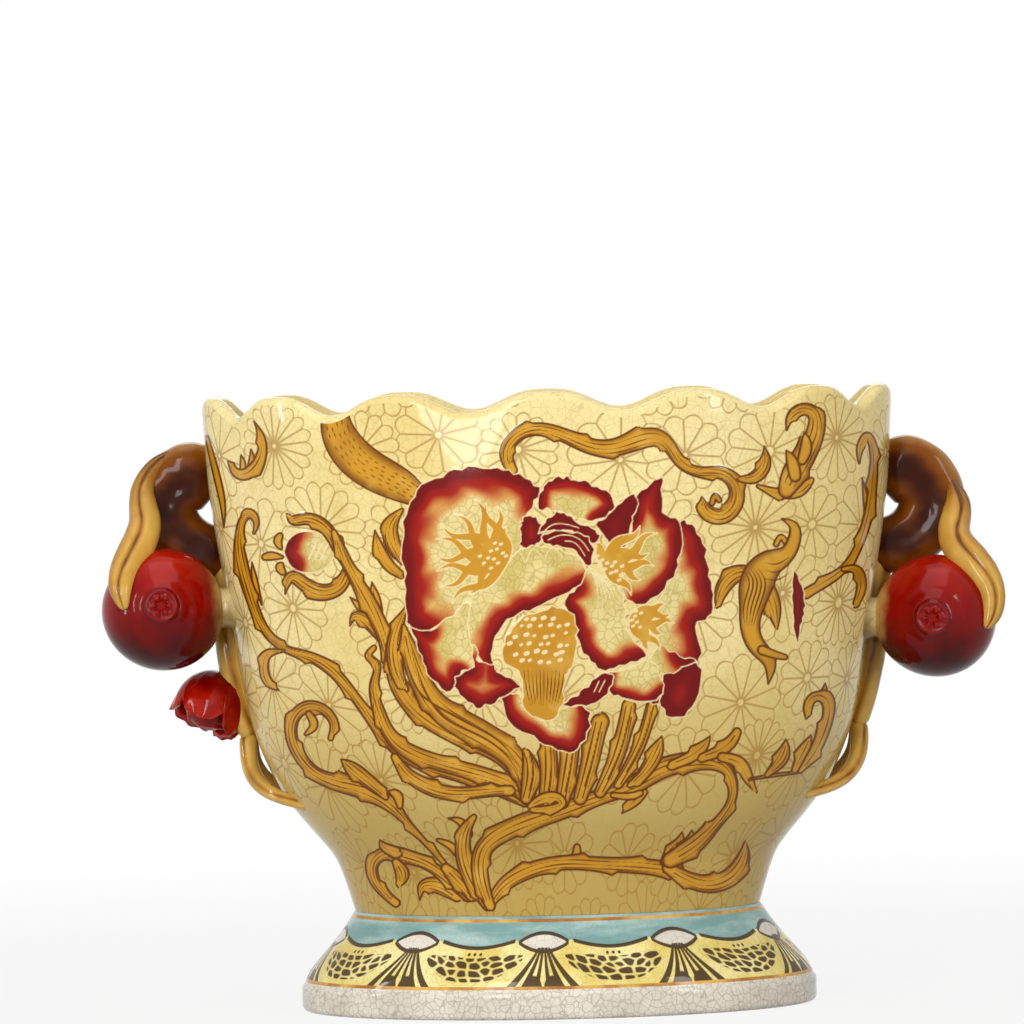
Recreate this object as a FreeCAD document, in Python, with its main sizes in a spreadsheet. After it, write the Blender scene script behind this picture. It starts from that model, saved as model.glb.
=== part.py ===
import FreeCAD, Part

import math
import os

# Driving sizes, in millimetres. They go into the sheet, and everything below is read or bound from there.
SIZES = {
    "rim_height": 260,
    "rim_half_width": 145.5,
    "rim_half_depth": 102,
    "scallop_depth": 8,
    "lobe_bulge": 1.4,
    "bowl_wall": 6.5,
    "floor_thickness": 9,
    "waist_height": 42,
    "waist_half_width": 85.6,
    "spigot_depth": 5,
    "spigot_wall": 6,
    "joint_clearance": 0.2,
    "plinth_height": 12,
    "plinth_half_width": 108.8,
    "plinth_ledge": 1.3,
    "plinth_round": 2.5,
    "foot_wall": 7.5,
    "foot_ring_width": 11,
    "branch_half_span": 17,
    "branch_reach": 20,
    "branch_setback": 7,
    "branch_top_radius": 14.5,
    "branch_bend_radius": 13,
    "branch_end_radius": 10.5,
    "root_bury": 9,
    "left_fruit_drop": 39.8,
    "right_fruit_drop": 46,
    "fruit_radius": 25.7,
    "fruit_wall": 4.5,
    "fruit_gap": 3,
    "fruit_forward": 15,
    "vent_radius": 2,
    "pad_radius": 11,
    "calyx_base_radius": 8.6,
    "calyx_lip_radius": 8.2,
    "calyx_mouth_radius": 5.6,
    "calyx_throat_radius": 3.4,
    "calyx_height": 4.5,
    "calyx_depth": 3,
    "calyx_notch_width": 2.4,
    "stem_radius": 6.2,
    "stem_end_radius": 4.8,
    "stem_setback": 6,
    "root_radius": 4.2,
    "root_tip_radius": 2.6,
    "root_drop": 27,
    "root_spread": 31,
    "bud_radius": 12,
    "petal_thickness": 3,
    "blossom_clearance": 1.5,
    "blossom_setback": 8,
    "cut_overrun": 12,
}

# Counts.
RIM_LOBES = 14
POINTS_PER_LOBE = 4
HALVINGS = 40
LOFT_DEGREE = 3
CALYX_SEPALS = 6
BLOSSOM_PETALS = 5

# Bowl outline as shares of the way from the waist to the rim: (height, half width, bulge of the lobes).
# The last point lies above the rim, where the wave is cut.
BOWL_PROFILE_SHARES = (
    (0.0, 0.0, 0.0),
    (0.078, 0.09, 0.0),
    (0.117, 0.165, 0.0),
    (0.195, 0.40, 0.0),
    (0.28, 0.585, 0.0),
    (0.39, 0.72, 0.0),
    (0.585, 0.84, 0.0),
    (0.78, 0.95, 0.0),
    (0.90, 0.985, 0.5),
    (1.0, 1.0, 1.0),
    (1.06, 1.004, 1.0),
)

# Foot outline as shares of the way from the plinth to the waist: (height, half width).
FOOT_PROFILE_SHARES = ((0.0, 0.0), (0.15, 0.095), (0.433, 0.415), (0.717, 0.735), (1.0, 1.0))

# Where the branches and the fork of the stems stand, as shares of the way from the waist to the rim.
BRANCH_HEIGHT_SHARES = {"left": 0.775, "right": 0.759}
FORK_HEIGHT_SHARE = 0.335

# Tendril routes, in fruit radii from the middle of the fruit: (outward, forward, up, thickness).
LEFT_TENDRIL_SHARES = (
    (-0.05, -0.45, 2.16, 0.18),
    (0.26, -0.20, 1.66, 0.27),
    (0.34, 0.08, 1.13, 0.29),
    (0.60, 0.46, 0.68, 0.28),
    (0.64, 0.78, 0.25, 0.21),
    (0.50, 0.90, 0.02, 0.10),
)
RIGHT_TENDRIL_SHARES = (
    (0.26, -0.52, 2.10, 0.13),
    (0.30, -0.28, 1.66, 0.21),
    (0.24, -0.05, 1.25, 0.26),
    (0.44, 0.33, 0.83, 0.28),
    (0.76, 0.47, 0.43, 0.25),
    (0.77, 0.64, 0.06, 0.21),
    (0.67, 0.70, -0.26, 0.12),
)

# Stem route from the branch to the fork as shares: (drop), (lift, of the stem radius), (taper to its end).
STEM_SHARES = ((0.0, 0.1, 0.5), (0.3, 0.4, 0.1), (0.55, 0.55, 0.0), (0.8, 0.55, 0.4), (1.0, 0.5, 1.0))

# Root routes as shares: (forward, of the spread), (drop), (lift, of the stem radius), (taper to its tip).
FRONT_ROOT_SHARES = (
    (0.0, -0.1, 0.5, 0.0),
    (0.10, 0.33, 1.15, 0.1),
    (0.36, 0.64, 1.25, 0.3),
    (0.68, 0.85, 0.75, 0.6),
    (1.0, 1.0, -0.55, 1.0),
)
BACK_ROOT_SHARES = (
    (0.0, -0.1, 0.5, 0.0),
    (-0.10, 0.36, 1.05, 0.1),
    (-0.30, 0.70, 1.0, 0.3),
    (-0.52, 0.92, 0.5, 0.6),
    (-0.76, 1.06, -0.55, 1.0),
)

# How far each crown leans from facing straight forward: (outward, upward).
CALYX_TILT_SHARES = {"left": (-0.10, -0.20), "right": (0.06, 0.05)}
PETAL_WIDTH_SHARE = 0.9

# Steps and angles, in degrees.
BRANCH_STEPS = 8
DIP_SHARPNESS = 1.5
PETAL_TOP_ANGLE = 62
PETAL_FOOT_ANGLE = -60
BLOSSOM_LEAN = 28
FULL_TURN = 360

doc = FreeCAD.newDocument("jardiniere")
sheet = doc.addObject("Spreadsheet::Sheet", "Sizes")
for row, (alias, value) in enumerate(SIZES.items(), start=1):
    sheet.set(f"A{row}", alias)
    sheet.set(f"B{row}", str(value))
    sheet.setAlias(f"B{row}", alias)
doc.recompute()


def size(alias):
    """The number that the sheet holds under this alias."""
    return float(sheet.get(alias))


def bind(piece, **expressions):
    """Binds properties to sheet expressions; a double underscore in a name stands for a dot."""
    for name, expression in expressions.items():
        piece.setExpression(name.replace("__", "."), expression)


def oval(name, half_width, half_depth, height):
    """A horizontal ellipse whose two half axes and height are sheet expressions."""
    ring = doc.addObject("Part::Ellipse", name)
    bind(ring, MajorRadius=half_width, MinorRadius=half_depth, Placement__Base__z=height)
    return ring


def loft(name, sections):
    body = doc.addObject("Part::Loft", name)
    body.Sections = sections
    body.Solid = True
    body.MaxDegree = LOFT_DEGREE
    return body


def boolean(kind, name, base, tool):
    """A Part::Cut, Part::Fuse or Part::Common of two objects."""
    result = doc.addObject(f"Part::{kind}", name)
    result.Base = base
    result.Tool = tool
    result.Refine = False
    return result


def cut_by(name, base, tools):
    """Cuts base by each tool in turn; the last cut carries the name."""
    for number, tool in enumerate(tools, start=1):
        step = name if number == len(tools) else f"{name}_step_{number}"
        base = boolean("Cut", step, base, tool)
    return base


# Bowl: a loft through lobed ovals, hollowed by a second one, with a wavy rim and a spigot below.
DEPTH_RATIO = "Sizes.rim_half_depth / Sizes.rim_half_width"


def lobe_wave(angle):
    """From 0 in the dip between two lobes to 1 at the crest of a lobe; a crest faces the front."""
    return (1 + math.cos(RIM_LOBES * (angle + math.pi / 2))) / 2


def closed_spline(places):
    curve = Part.BSplineCurve()
    curve.interpolate(places, PeriodicFlag=True)
    return curve.toShape()


def around(step_place, start=0):
    """The closed curve through the places that a function gives for the angles of one turn."""
    steps = RIM_LOBES * POINTS_PER_LOBE
    return closed_spline([step_place(start + 2 * math.pi * step / steps) for step in range(steps)])


def lobed_oval(name, half_width, inset, height, bulge):
    """A level oval drawn in by inset, whose lobes swell outward by bulge."""
    half_depth = half_width * size("rim_half_depth") / size("rim_half_width")

    def place(angle):
        grown = bulge * lobe_wave(angle) - inset
        across = (half_width + grown) * math.cos(angle)
        along = (half_depth + grown) * math.sin(angle)
        return FreeCAD.Vector(across, along, height)

    ring = doc.addObject("Part::Feature", name)
    ring.Shape = Part.Wire(around(place))
    return ring


def bowl_half_width(out_share):
    waist = size("waist_half_width")
    return waist + out_share * (size("rim_half_width") - waist)


def bowl_height(up_share):
    waist = size("waist_height")
    return waist + up_share * (size("rim_height") - waist)


def bowl_loft(name, inset):
    """The bowl outline as a solid, drawn in by inset; an inset one stands on the bowl's floor."""
    rings = []
    for number, (up_share, out_share, bulge_share) in enumerate(BOWL_PROFILE_SHARES):
        half_width = bowl_half_width(out_share)
        height = bowl_height(up_share)
        bulge = bulge_share * size("lobe_bulge")
        if inset and number == 0:
            height = height + size("floor_thickness")
            half_width = half_width - inset
        rings.append(lobed_oval(f"{name}_ring_{number}", half_width, inset, height, bulge))
    return loft(name, rings)


def rim_wave():
    """Everything above the wavy edge of the rim, as a ring to cut away."""

    def edge(spread):
        def place(angle):
            dip = (1 - lobe_wave(angle)) ** DIP_SHARPNESS
            across = (size("rim_half_width") + spread) * math.cos(angle)
            along = (size("rim_half_depth") + spread) * math.sin(angle)
            return FreeCAD.Vector(across, along, size("rim_height") - dip * size("scallop_depth"))

        return around(place, math.pi / 2)

    face = Part.makeRuledSurface(edge(size("cut_overrun")), edge(-size("bowl_wall") - size("cut_overrun")))
    wave = doc.addObject("Part::Feature", "rim_wave")
    wave.Shape = face.extrude(FreeCAD.Vector(0, 0, size("rim_height")))
    return wave


def oval_block(name, half_width, half_depth, low, high):
    """An upright block on an oval, between two heights; all four are sheet expressions."""
    block = doc.addObject("Part::Extrusion", name)
    block.Base = oval(f"{name}_oval", half_width, half_depth, low)
    block.DirMode = "Custom"
    block.Dir = FreeCAD.Vector(0, 0, 1)
    block.Solid = True
    bind(block, LengthFwd=f"{high} - ({low})")
    return block


def build_bowl():
    """The whole outside as one solid, which the handles are cut by, and the finished bowl."""
    outside = bowl_loft("bowl_outside", 0)
    shell = boolean("Cut", "bowl_shell", outside, bowl_loft("bowl_hollow", size("bowl_wall")))
    wavy = boolean("Cut", "bowl_wavy", shell, rim_wave())
    mouth = "Sizes.waist_half_width - Sizes.foot_wall - Sizes.joint_clearance"
    mouth_depth = f"Sizes.waist_half_width * {DEPTH_RATIO} - Sizes.foot_wall - Sizes.joint_clearance"
    bore = f"{mouth} - Sizes.spigot_wall"
    bore_depth = f"{mouth_depth} - Sizes.spigot_wall"
    low = "Sizes.waist_height - Sizes.spigot_depth"
    high = "Sizes.waist_height"
    block = oval_block("spigot_block", mouth, mouth_depth, low, high)
    spigot = boolean("Cut", "spigot", block, oval_block("spigot_bore", bore, bore_depth, low, high))
    return outside, boolean("Fuse", "bowl", wavy, spigot)


# Foot: a flared loft on a rounded plinth, hollow from below, open above to take the spigot.
def foot_sections(name, inset):
    ovals = []
    top = "Sizes.waist_half_width"
    base = "(Sizes.plinth_half_width - Sizes.plinth_ledge)"
    for number, (up_share, in_share) in enumerate(FOOT_PROFILE_SHARES):
        half = f"({base} - {in_share} * ({base} - {top}))"
        height = f"Sizes.plinth_height + {up_share} * (Sizes.waist_height - Sizes.plinth_height)"
        ovals.append(oval(f"{name}_{number}", f"{half} - {inset}", f"{half} * {DEPTH_RATIO} - {inset}", height))
    return ovals


def build_foot():
    flare = loft("foot_flare", foot_sections("foot_outer_oval", "0"))
    half_depth = f"Sizes.plinth_half_width * {DEPTH_RATIO}"
    block = oval_block("plinth_block", "Sizes.plinth_half_width", half_depth, "0", "Sizes.plinth_height")
    doc.recompute()
    plinth = doc.addObject("Part::Fillet", "plinth")
    plinth.Base = block
    rounded = [n for n, edge in enumerate(block.Shape.Edges, start=1) if edge.isClosed()]
    plinth.Edges = [(n, size("plinth_round"), size("plinth_round")) for n in rounded]
    solid = boolean("Fuse", "foot_solid", plinth, flare)
    hollow = foot_sections("foot_inner_oval", "Sizes.foot_wall")
    ring = "Sizes.plinth_half_width - Sizes.foot_ring_width"
    ring_depth = f"{half_depth} - Sizes.foot_ring_width"
    hollow.insert(0, oval("foot_ring_oval", ring, ring_depth, "-Sizes.cut_overrun"))
    bind(hollow[-1], Placement__Base__z="Sizes.waist_height + Sizes.joint_clearance")
    return boolean("Cut", "foot", solid, loft("foot_hollow", hollow))


# Handles: limbs are lofts through circles along a route, cut by what they are luted to.
def limb(name, side, route, radii):
    """A tapering limb through the points of a route; each circle faces along it and starts on its outer side."""
    circles = []
    last = len(route) - 1
    for number, (place, radius) in enumerate(zip(route, radii)):
        way = route[min(number + 1, last)] - route[max(number - 1, 0)]
        across = FreeCAD.Vector(0, -side, 0)
        circle = doc.addObject("Part::Circle", f"{name}_circle_{number}")
        circle.Placement = FreeCAD.Placement(place, FreeCAD.Rotation(FreeCAD.Vector(), across, way, "ZYX"))
        bind(circle, Radius=radius)
        circles.append(circle)
    return loft(f"{name}_limb", circles)


def wall_reach(along, height):
    """How far the outside of the bowl reaches to the side at this place, found by halving."""
    curve = Part.BSplineCurve()
    curve.interpolate([FreeCAD.Vector(bowl_half_width(out), 0, bowl_height(up)) for up, out, _ in BOWL_PROFILE_SHARES])
    below = curve.FirstParameter
    above = curve.LastParameter
    for _ in range(HALVINGS):
        middle = (below + above) / 2
        if curve.value(middle).z < height:
            below = middle
        else:
            above = middle
    half_width = curve.value(below).x
    half_depth = half_width * size("rim_half_depth") / size("rim_half_width")
    return half_width * math.sqrt(1 - (along / half_depth) ** 2)


def between(start, end, share):
    """A sheet expression that goes from one size to another."""
    return f"Sizes.{start} + {share} * (Sizes.{end} - Sizes.{start})"


def branch_route(side, middle):
    """A loop out from the wall and back, with a straight end buried in the wall at each end."""
    setback = size("branch_setback")
    route = []
    for step in range(BRANCH_STEPS + 1):
        turn = math.pi * step / BRANCH_STEPS
        height = middle + size("branch_half_span") * math.cos(turn)
        out = wall_reach(setback, height) + size("branch_reach") * math.sin(turn)
        route.append(FreeCAD.Vector(side * out, setback, height))
    bury = FreeCAD.Vector(-side * size("root_bury"), 0, 0)
    return [route[0] + bury] + route + [route[-1] + bury]


def branch_height(label):
    return bowl_height(BRANCH_HEIGHT_SHARES[label])


def fruit_height(label):
    return branch_height(label) - size(f"{label}_fruit_drop")


def build_branch(label, side, outside, fruit):
    radii = []
    for step in range(BRANCH_STEPS + 1):
        share = 2 * step / BRANCH_STEPS
        if share <= 1:
            radii.append(between("branch_top_radius", "branch_bend_radius", share))
        else:
            radii.append(between("branch_bend_radius", "branch_end_radius", share - 1))
    radii = [radii[0]] + radii + [radii[-1]]
    route = branch_route(side, branch_height(label))
    raw = limb(f"{label}_branch", side, route, radii)
    return cut_by(f"{label}_branch", raw, [outside, fruit]), raw


def fruit_middle(label, side):
    forward = -size("fruit_forward")
    height = fruit_height(label)
    out = wall_reach(forward, height) + size("fruit_gap") + size("fruit_radius")
    return FreeCAD.Vector(side * out, forward, height)


def build_fruit(label, middle):
    """The fruit's full ball, which its neighbours are cut by, and the hollow fruit with its vent behind."""
    ball = doc.addObject("Part::Sphere", f"{label}_fruit_ball")
    bind(ball, Radius="Sizes.fruit_radius")
    ball.Placement.Base = middle
    hollow = doc.addObject("Part::Sphere", f"{label}_fruit_hollow")
    bind(hollow, Radius="Sizes.fruit_radius - Sizes.fruit_wall")
    hollow.Placement.Base = middle
    vent = doc.addObject("Part::Cylinder", f"{label}_vent")
    bind(vent, Radius="Sizes.vent_radius", Height="Sizes.fruit_radius + Sizes.cut_overrun")
    vent.Placement = FreeCAD.Placement(middle, FreeCAD.Rotation(FreeCAD.Vector(0, 0, 1), FreeCAD.Vector(0, 1, -1)))
    return ball, cut_by(f"{label}_pomegranate", ball, [hollow, vent])


def build_pad(label, side, middle, outside, ball):
    """The lump of clay that bridges the fruit and the wall."""
    lump = doc.addObject("Part::Cylinder", f"{label}_pad_lump")
    bind(lump, Radius="Sizes.pad_radius", Height="Sizes.fruit_radius + Sizes.fruit_gap + Sizes.root_bury")
    inward = FreeCAD.Vector(-side, 0, 0)
    lump.Placement = FreeCAD.Placement(middle, FreeCAD.Rotation(FreeCAD.Vector(0, 0, 1), inward))
    return cut_by(f"{label}_fruit_pad", lump, [outside, ball])


def spoke(frame, turn, lift):
    """A placement turned about the axis of a frame and lifted along it."""
    about = FreeCAD.Rotation(FreeCAD.Vector(0, 0, 1), turn)
    return frame.multiply(FreeCAD.Placement(FreeCAD.Vector(0, 0, lift), about))


def build_calyx(label, side, middle, ball):
    """A flared cup with a notch between every two sepals, seated on the front of the fruit."""
    outward, upward = CALYX_TILT_SHARES[label]
    facing = FreeCAD.Vector(side * outward, -1, upward)
    frame = FreeCAD.Placement(middle, FreeCAD.Rotation(FreeCAD.Vector(0, 0, 1), facing))
    sunk = size("fruit_radius") - size("fruit_wall")
    collar = doc.addObject("Part::Cone", f"{label}_calyx_collar")
    bind(
        collar,
        Radius1="Sizes.calyx_base_radius",
        Radius2="Sizes.calyx_lip_radius",
        Height="Sizes.fruit_wall + Sizes.calyx_height",
    )
    collar.Placement = spoke(frame, 0, sunk)
    cup = doc.addObject("Part::Cone", f"{label}_calyx_cup")
    bind(
        cup,
        Radius1="Sizes.calyx_throat_radius",
        Radius2="Sizes.calyx_mouth_radius",
        Height="Sizes.calyx_depth + Sizes.joint_clearance",
    )
    cup_floor = size("fruit_radius") + size("calyx_height") - size("calyx_depth")
    cup.Placement = spoke(frame, 0, cup_floor)
    tools = [ball, cup]
    for number in range(CALYX_SEPALS // 2):
        notch = doc.addObject("Part::Box", f"{label}_calyx_notch_{number}")
        bind(
            notch,
            Length="4 * Sizes.calyx_lip_radius",
            Width="Sizes.calyx_notch_width",
            Height="Sizes.calyx_depth + Sizes.joint_clearance",
        )
        corner = FreeCAD.Vector(-2 * size("calyx_lip_radius"), -size("calyx_notch_width") / 2, 0)
        turned = spoke(frame, FULL_TURN / CALYX_SEPALS * number, cup_floor)
        notch.Placement = turned.multiply(FreeCAD.Placement(corner, FreeCAD.Rotation()))
        tools.append(notch)
    return cut_by(f"{label}_calyx", collar, tools)


def build_tendril(label, side, middle, shares, tools):
    radius = size("fruit_radius")
    route = []
    radii = []
    for outward, forward, up, thickness in shares:
        route.append(middle + FreeCAD.Vector(side * outward, -forward, up) * radius)
        radii.append(f"{thickness} * Sizes.fruit_radius")
    return cut_by(f"{label}_tendril", limb(f"{label}_tendril", side, route, radii), tools)


def wall_point(side, along, height, lift):
    """A point at this height that stands off the wall by lift."""
    return FreeCAD.Vector(side * (wall_reach(along, height) + lift), along, height)


def stem_limb(label, side):
    """The limb that runs down the wall from the lower end of the branch to the fork."""
    top = branch_height(label) - size("branch_half_span")
    drop = top - bowl_height(FORK_HEIGHT_SHARE)
    route = []
    radii = []
    for down, lift, taper in STEM_SHARES:
        height = top - down * drop
        route.append(wall_point(side, size("stem_setback"), height, lift * size("stem_radius")))
        radii.append(between("stem_radius", "stem_end_radius", taper))
    return limb(f"{label}_stem", side, route, radii)


def root_limbs(name, shares):
    """A prong from the fork that stands off the wall and meets it again lower down, and its mirror image."""
    route = []
    radii = []
    for forward, down, lift, taper in shares:
        along = size("stem_setback") - forward * size("root_spread")
        height = bowl_height(FORK_HEIGHT_SHARE) - down * size("root_drop")
        route.append(wall_point(-1, along, height, lift * size("stem_radius")))
        radii.append(between("root_radius", "root_tip_radius", taper))
    left = limb(f"left_{name}", -1, route, radii)
    right = doc.addObject("Part::Mirroring", f"right_{name}_limb")
    right.Source = left
    right.Normal = FreeCAD.Vector(1, 0, 0)
    return {"left": left, "right": right}


def bud_ball(name, frame, radius):
    ball = doc.addObject("Part::Sphere", name)
    bind(ball, Radius=radius)
    ball.Placement = frame
    return ball


def build_blossom(label, side, tools):
    """A hanging bud and the petals that wrap it, clear of the fruit above and cut by the stem that carries it."""
    blossom_radius = size("bud_radius") + size("petal_thickness")
    height = fruit_height(label) - size("fruit_radius") - blossom_radius - size("blossom_clearance")
    reach = blossom_radius + 2 * size("blossom_clearance")
    place = wall_point(side, size("blossom_setback"), height, reach)
    lean = math.radians(BLOSSOM_LEAN)
    hanging = FreeCAD.Vector(side * math.sin(lean), 0, -math.cos(lean))
    across = FreeCAD.Vector(0, 1, 0)
    frame = FreeCAD.Placement(place, FreeCAD.Rotation(FreeCAD.Vector(), across, hanging, "ZYX"))
    bud = cut_by(f"{label}_blossom_bud", bud_ball(f"{label}_bud_ball", frame, "Sizes.bud_radius"), tools)
    step = FULL_TURN / BLOSSOM_PETALS
    petals = []
    for number in range(BLOSSOM_PETALS):
        turned = spoke(frame, number * step, 0)
        wedge = bud_ball(f"{label}_petal_wedge_{number}", turned, "Sizes.bud_radius + Sizes.petal_thickness")
        wedge.Angle1 = PETAL_FOOT_ANGLE
        wedge.Angle2 = PETAL_TOP_ANGLE
        wedge.Angle3 = step * PETAL_WIDTH_SHARE
        core = bud_ball(f"{label}_petal_core_{number}", turned, "Sizes.bud_radius")
        petals.append(cut_by(f"{label}_petal_{number}", wedge, [core] + tools))
    group = doc.addObject("Part::Compound", f"{label}_blossom_petals")
    group.Links = petals
    return [bud, group]


def build_handle(label, side, outside, tendril_shares):
    """All pieces of one end: those made first are the tools that shape those luted on later."""
    middle = fruit_middle(label, side)
    ball, fruit = build_fruit(label, middle)
    pad = build_pad(label, side, middle, outside, ball)
    branch, branch_limb = build_branch(label, side, outside, ball)
    calyx = build_calyx(label, side, middle, ball)
    tendril = build_tendril(label, side, middle, tendril_shares, [outside, ball, branch_limb])
    stem = cut_by(f"{label}_stem", stem_limb(label, side), [outside, branch_limb, ball])
    front = cut_by(f"{label}_front_root", front_roots[label], [outside, stem])
    back = cut_by(f"{label}_back_root", back_roots[label], [outside, stem, front_roots[label]])
    return [branch, fruit, calyx, pad, tendril, stem, front, back], [stem]


# Assembly, checks and files.
bowl_outside, bowl = build_bowl()
foot = build_foot()
doc.recompute()
front_roots = root_limbs("front_root", FRONT_ROOT_SHARES)
back_roots = root_limbs("back_root", BACK_ROOT_SHARES)
left, left_tools = build_handle("left", -1, bowl_outside, LEFT_TENDRIL_SHARES)
right, _ = build_handle("right", 1, bowl_outside, RIGHT_TENDRIL_SHARES)
blossom = build_blossom("left", -1, left_tools)
nodes = [bowl, foot] + left + blossom + right
doc.recompute()

for piece in doc.Objects:
    if "Invalid" in piece.State or "Error" in piece.State:
        raise RuntimeError(f"{piece.Label} did not build: {piece.State}")
os.makedirs("parts", exist_ok=True)
for node in nodes:
    if node.Shape.isNull() or not node.Shape.isValid():
        raise RuntimeError(f"{node.Label} has no valid shape")
    node.Shape.exportStep(f"parts/{node.Label}.step")
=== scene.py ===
import math

import bpy
import numpy as np
from mathutils import Matrix, Vector


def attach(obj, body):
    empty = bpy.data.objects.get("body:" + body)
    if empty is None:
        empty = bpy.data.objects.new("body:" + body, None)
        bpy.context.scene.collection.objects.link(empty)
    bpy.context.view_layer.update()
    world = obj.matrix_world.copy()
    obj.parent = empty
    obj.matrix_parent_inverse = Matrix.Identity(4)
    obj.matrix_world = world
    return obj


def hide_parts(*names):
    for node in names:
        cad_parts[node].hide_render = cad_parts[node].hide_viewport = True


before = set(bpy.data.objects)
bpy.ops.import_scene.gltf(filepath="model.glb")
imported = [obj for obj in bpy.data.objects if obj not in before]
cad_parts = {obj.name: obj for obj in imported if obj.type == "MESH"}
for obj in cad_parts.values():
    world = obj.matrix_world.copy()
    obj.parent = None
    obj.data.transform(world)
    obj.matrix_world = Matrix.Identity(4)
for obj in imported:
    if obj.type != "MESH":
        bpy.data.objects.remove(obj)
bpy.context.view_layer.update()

# Sizes in millimetres, taken from the part's own source; meshes are written in metres.
MM = 0.001
RIM_HEIGHT = 260
RIM_HALF_WIDTH = 145.5
RIM_HALF_DEPTH = 102
DEPTH_SHARE = RIM_HALF_DEPTH / RIM_HALF_WIDTH
SCALLOP_DEPTH = 8
LOBE_BULGE = 1.4
RIM_LOBES = 14
DIP_SHARPNESS = 1.5
BOWL_WALL = 6.5
FLOOR_THICKNESS = 9
WAIST_HEIGHT = 42
WAIST_HALF_WIDTH = 85.6
SPIGOT_DEPTH = 5
SPIGOT_WALL = 6
SPIGOT_PLAY = 0.2
PLINTH_HEIGHT = 12
PLINTH_HALF_WIDTH = 108.8
PLINTH_LEDGE = 1.3
PLINTH_ROUND = 2.5
FOOT_WALL = 7.5
FOOT_RING_WIDTH = 11
BRANCH_HEIGHT = {"left": 211, "right": 207.5}
BRANCH_HALF_SPAN = 17
BRANCH_REACH = 20
BRANCH_SETBACK = 7
FRUIT_HEIGHT = {"left": 171.2, "right": 161.5}
FRUIT_RADIUS = 25.7
FRUIT_GAP = 3
FRUIT_FORWARD = 15
STEM_SETBACK = 6
STEM_RADIUS = 6.2
STEM_END_RADIUS = 4.8
FORK_HEIGHT = 115
ROOT_DROP = 27
ROOT_SPREAD = 31
ROOT_RADIUS = 4.2
ROOT_TIP_RADIUS = 2.6
BUD_RADIUS = 12
BLOSSOM_HEIGHT = 130
BLOSSOM_REACH = 16
BLOSSOM_SETBACK = 8
BLOSSOM_LEAN = math.radians(28)
SIDES = {"left": -1, "right": 1}

# Bowl outline: (share of the height from waist to rim, share of the way out).
BOWL_PROFILE_SHARES = (
    (0.0, 0.0),
    (0.078, 0.09),
    (0.117, 0.165),
    (0.195, 0.40),
    (0.28, 0.585),
    (0.39, 0.72),
    (0.585, 0.84),
    (0.78, 0.95),
    (0.90, 0.985),
    (1.0, 1.0),
    (1.06, 1.004),
)
FOOT_PROFILE_SHARES = ((0.0, 0.0), (0.15, 0.095), (0.433, 0.415), (0.717, 0.735), (1.0, 1.0))
BULGE_START_SHARE = 0.8

# The drawing sheet: the painted front seen from here, in picture units with y downward.
SHEET_SIDE = 1024
EYE = np.array([0.0, -3400.0, 285.0])
EYE_AIM = np.array([-15.57, 0.0, 208.84])
EYE_ROLL = -0.0223
EYE_FOCAL = 8048

# Mesh spacing on the painted walls, in millimetres.
FRONT_SPACING = 0.55
BACK_SPACING = 0.85
FAR = 99.0

# Unevenness: octaves of waves, the waves in each, and the usual size of their sum.
BUMP_OCTAVES = 3
BUMP_WAVES = 6
BUMP_SIZE = 4


# Curves and meshes
def smooth_curve(knots, count, axes=3):
    """Places on a natural cubic spline through knots; the first axes columns of a knot are its place."""
    knots = np.asarray(knots, float)
    steps = np.sqrt(np.linalg.norm(np.diff(knots[:, :axes], axis=0), axis=1))
    ticks = np.concatenate([[0.0], np.cumsum(steps)])
    last = len(knots) - 1
    slopes = np.diff(knots, axis=0) / steps[:, None]
    system = np.eye(last + 1)
    pull = np.zeros_like(knots)
    for i in range(1, last):
        system[i, i - 1 : i + 2] = (steps[i - 1], 2 * (steps[i - 1] + steps[i]), steps[i])
        pull[i] = 6 * (slopes[i] - slopes[i - 1])
    bend = np.linalg.solve(system, pull)
    at = np.linspace(0, ticks[-1], count)
    i = np.clip(np.searchsorted(ticks, at, side="right") - 1, 0, last - 1)
    width = steps[i][:, None]
    left = (ticks[i + 1] - at)[:, None]
    right = (at - ticks[i])[:, None]
    curve = (bend[i] * left**3 + bend[i + 1] * right**3) / (6 * width)
    curve += (knots[i] / width - bend[i] * width / 6) * left
    curve += (knots[i + 1] / width - bend[i + 1] * width / 6) * right
    return curve


def smoothstep(low, high, value):
    share = np.clip((value - low) / (high - low), 0, 1)
    return share * share * (3 - 2 * share)


def round_places(turn, across, along, height):
    """Places round an upright axis, by the turn, the half width, the half depth and the height."""
    return np.stack([across * np.cos(turn), along * np.sin(turn), height + 0 * turn], -1)


def bumps(places, scale, seed):
    """Smooth seeded unevenness of about -1 to 1, from waves in several directions."""
    draw = np.random.default_rng(seed)
    total = np.zeros(places.shape[:-1])
    for octave in range(BUMP_OCTAVES):
        for _ in range(BUMP_WAVES):
            way = draw.normal(size=3)
            way *= 2**octave * 2 * math.pi / (scale * np.linalg.norm(way))
            total += np.sin(places @ way + draw.uniform(0, 2 * math.pi)) / 2**octave
    return total / BUMP_SIZE


def grid_normals(grid):
    """Unit normals of a grid of rows that close on themselves."""
    along = np.gradient(grid, axis=0)
    around = np.roll(grid, -1, axis=1) - np.roll(grid, 1, axis=1)
    normal = np.cross(around, along)
    return normal / np.maximum(np.linalg.norm(normal, axis=-1, keepdims=True), 1e-9)


def whole_layer(values, grid, painted, empty=FAR):
    """A layer for all places of a grid, from its values on the painted rows."""
    whole = np.full(grid.shape[:2], empty, np.float32)
    whole[painted] = values.reshape(whole[painted].shape)
    return whole


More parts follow.
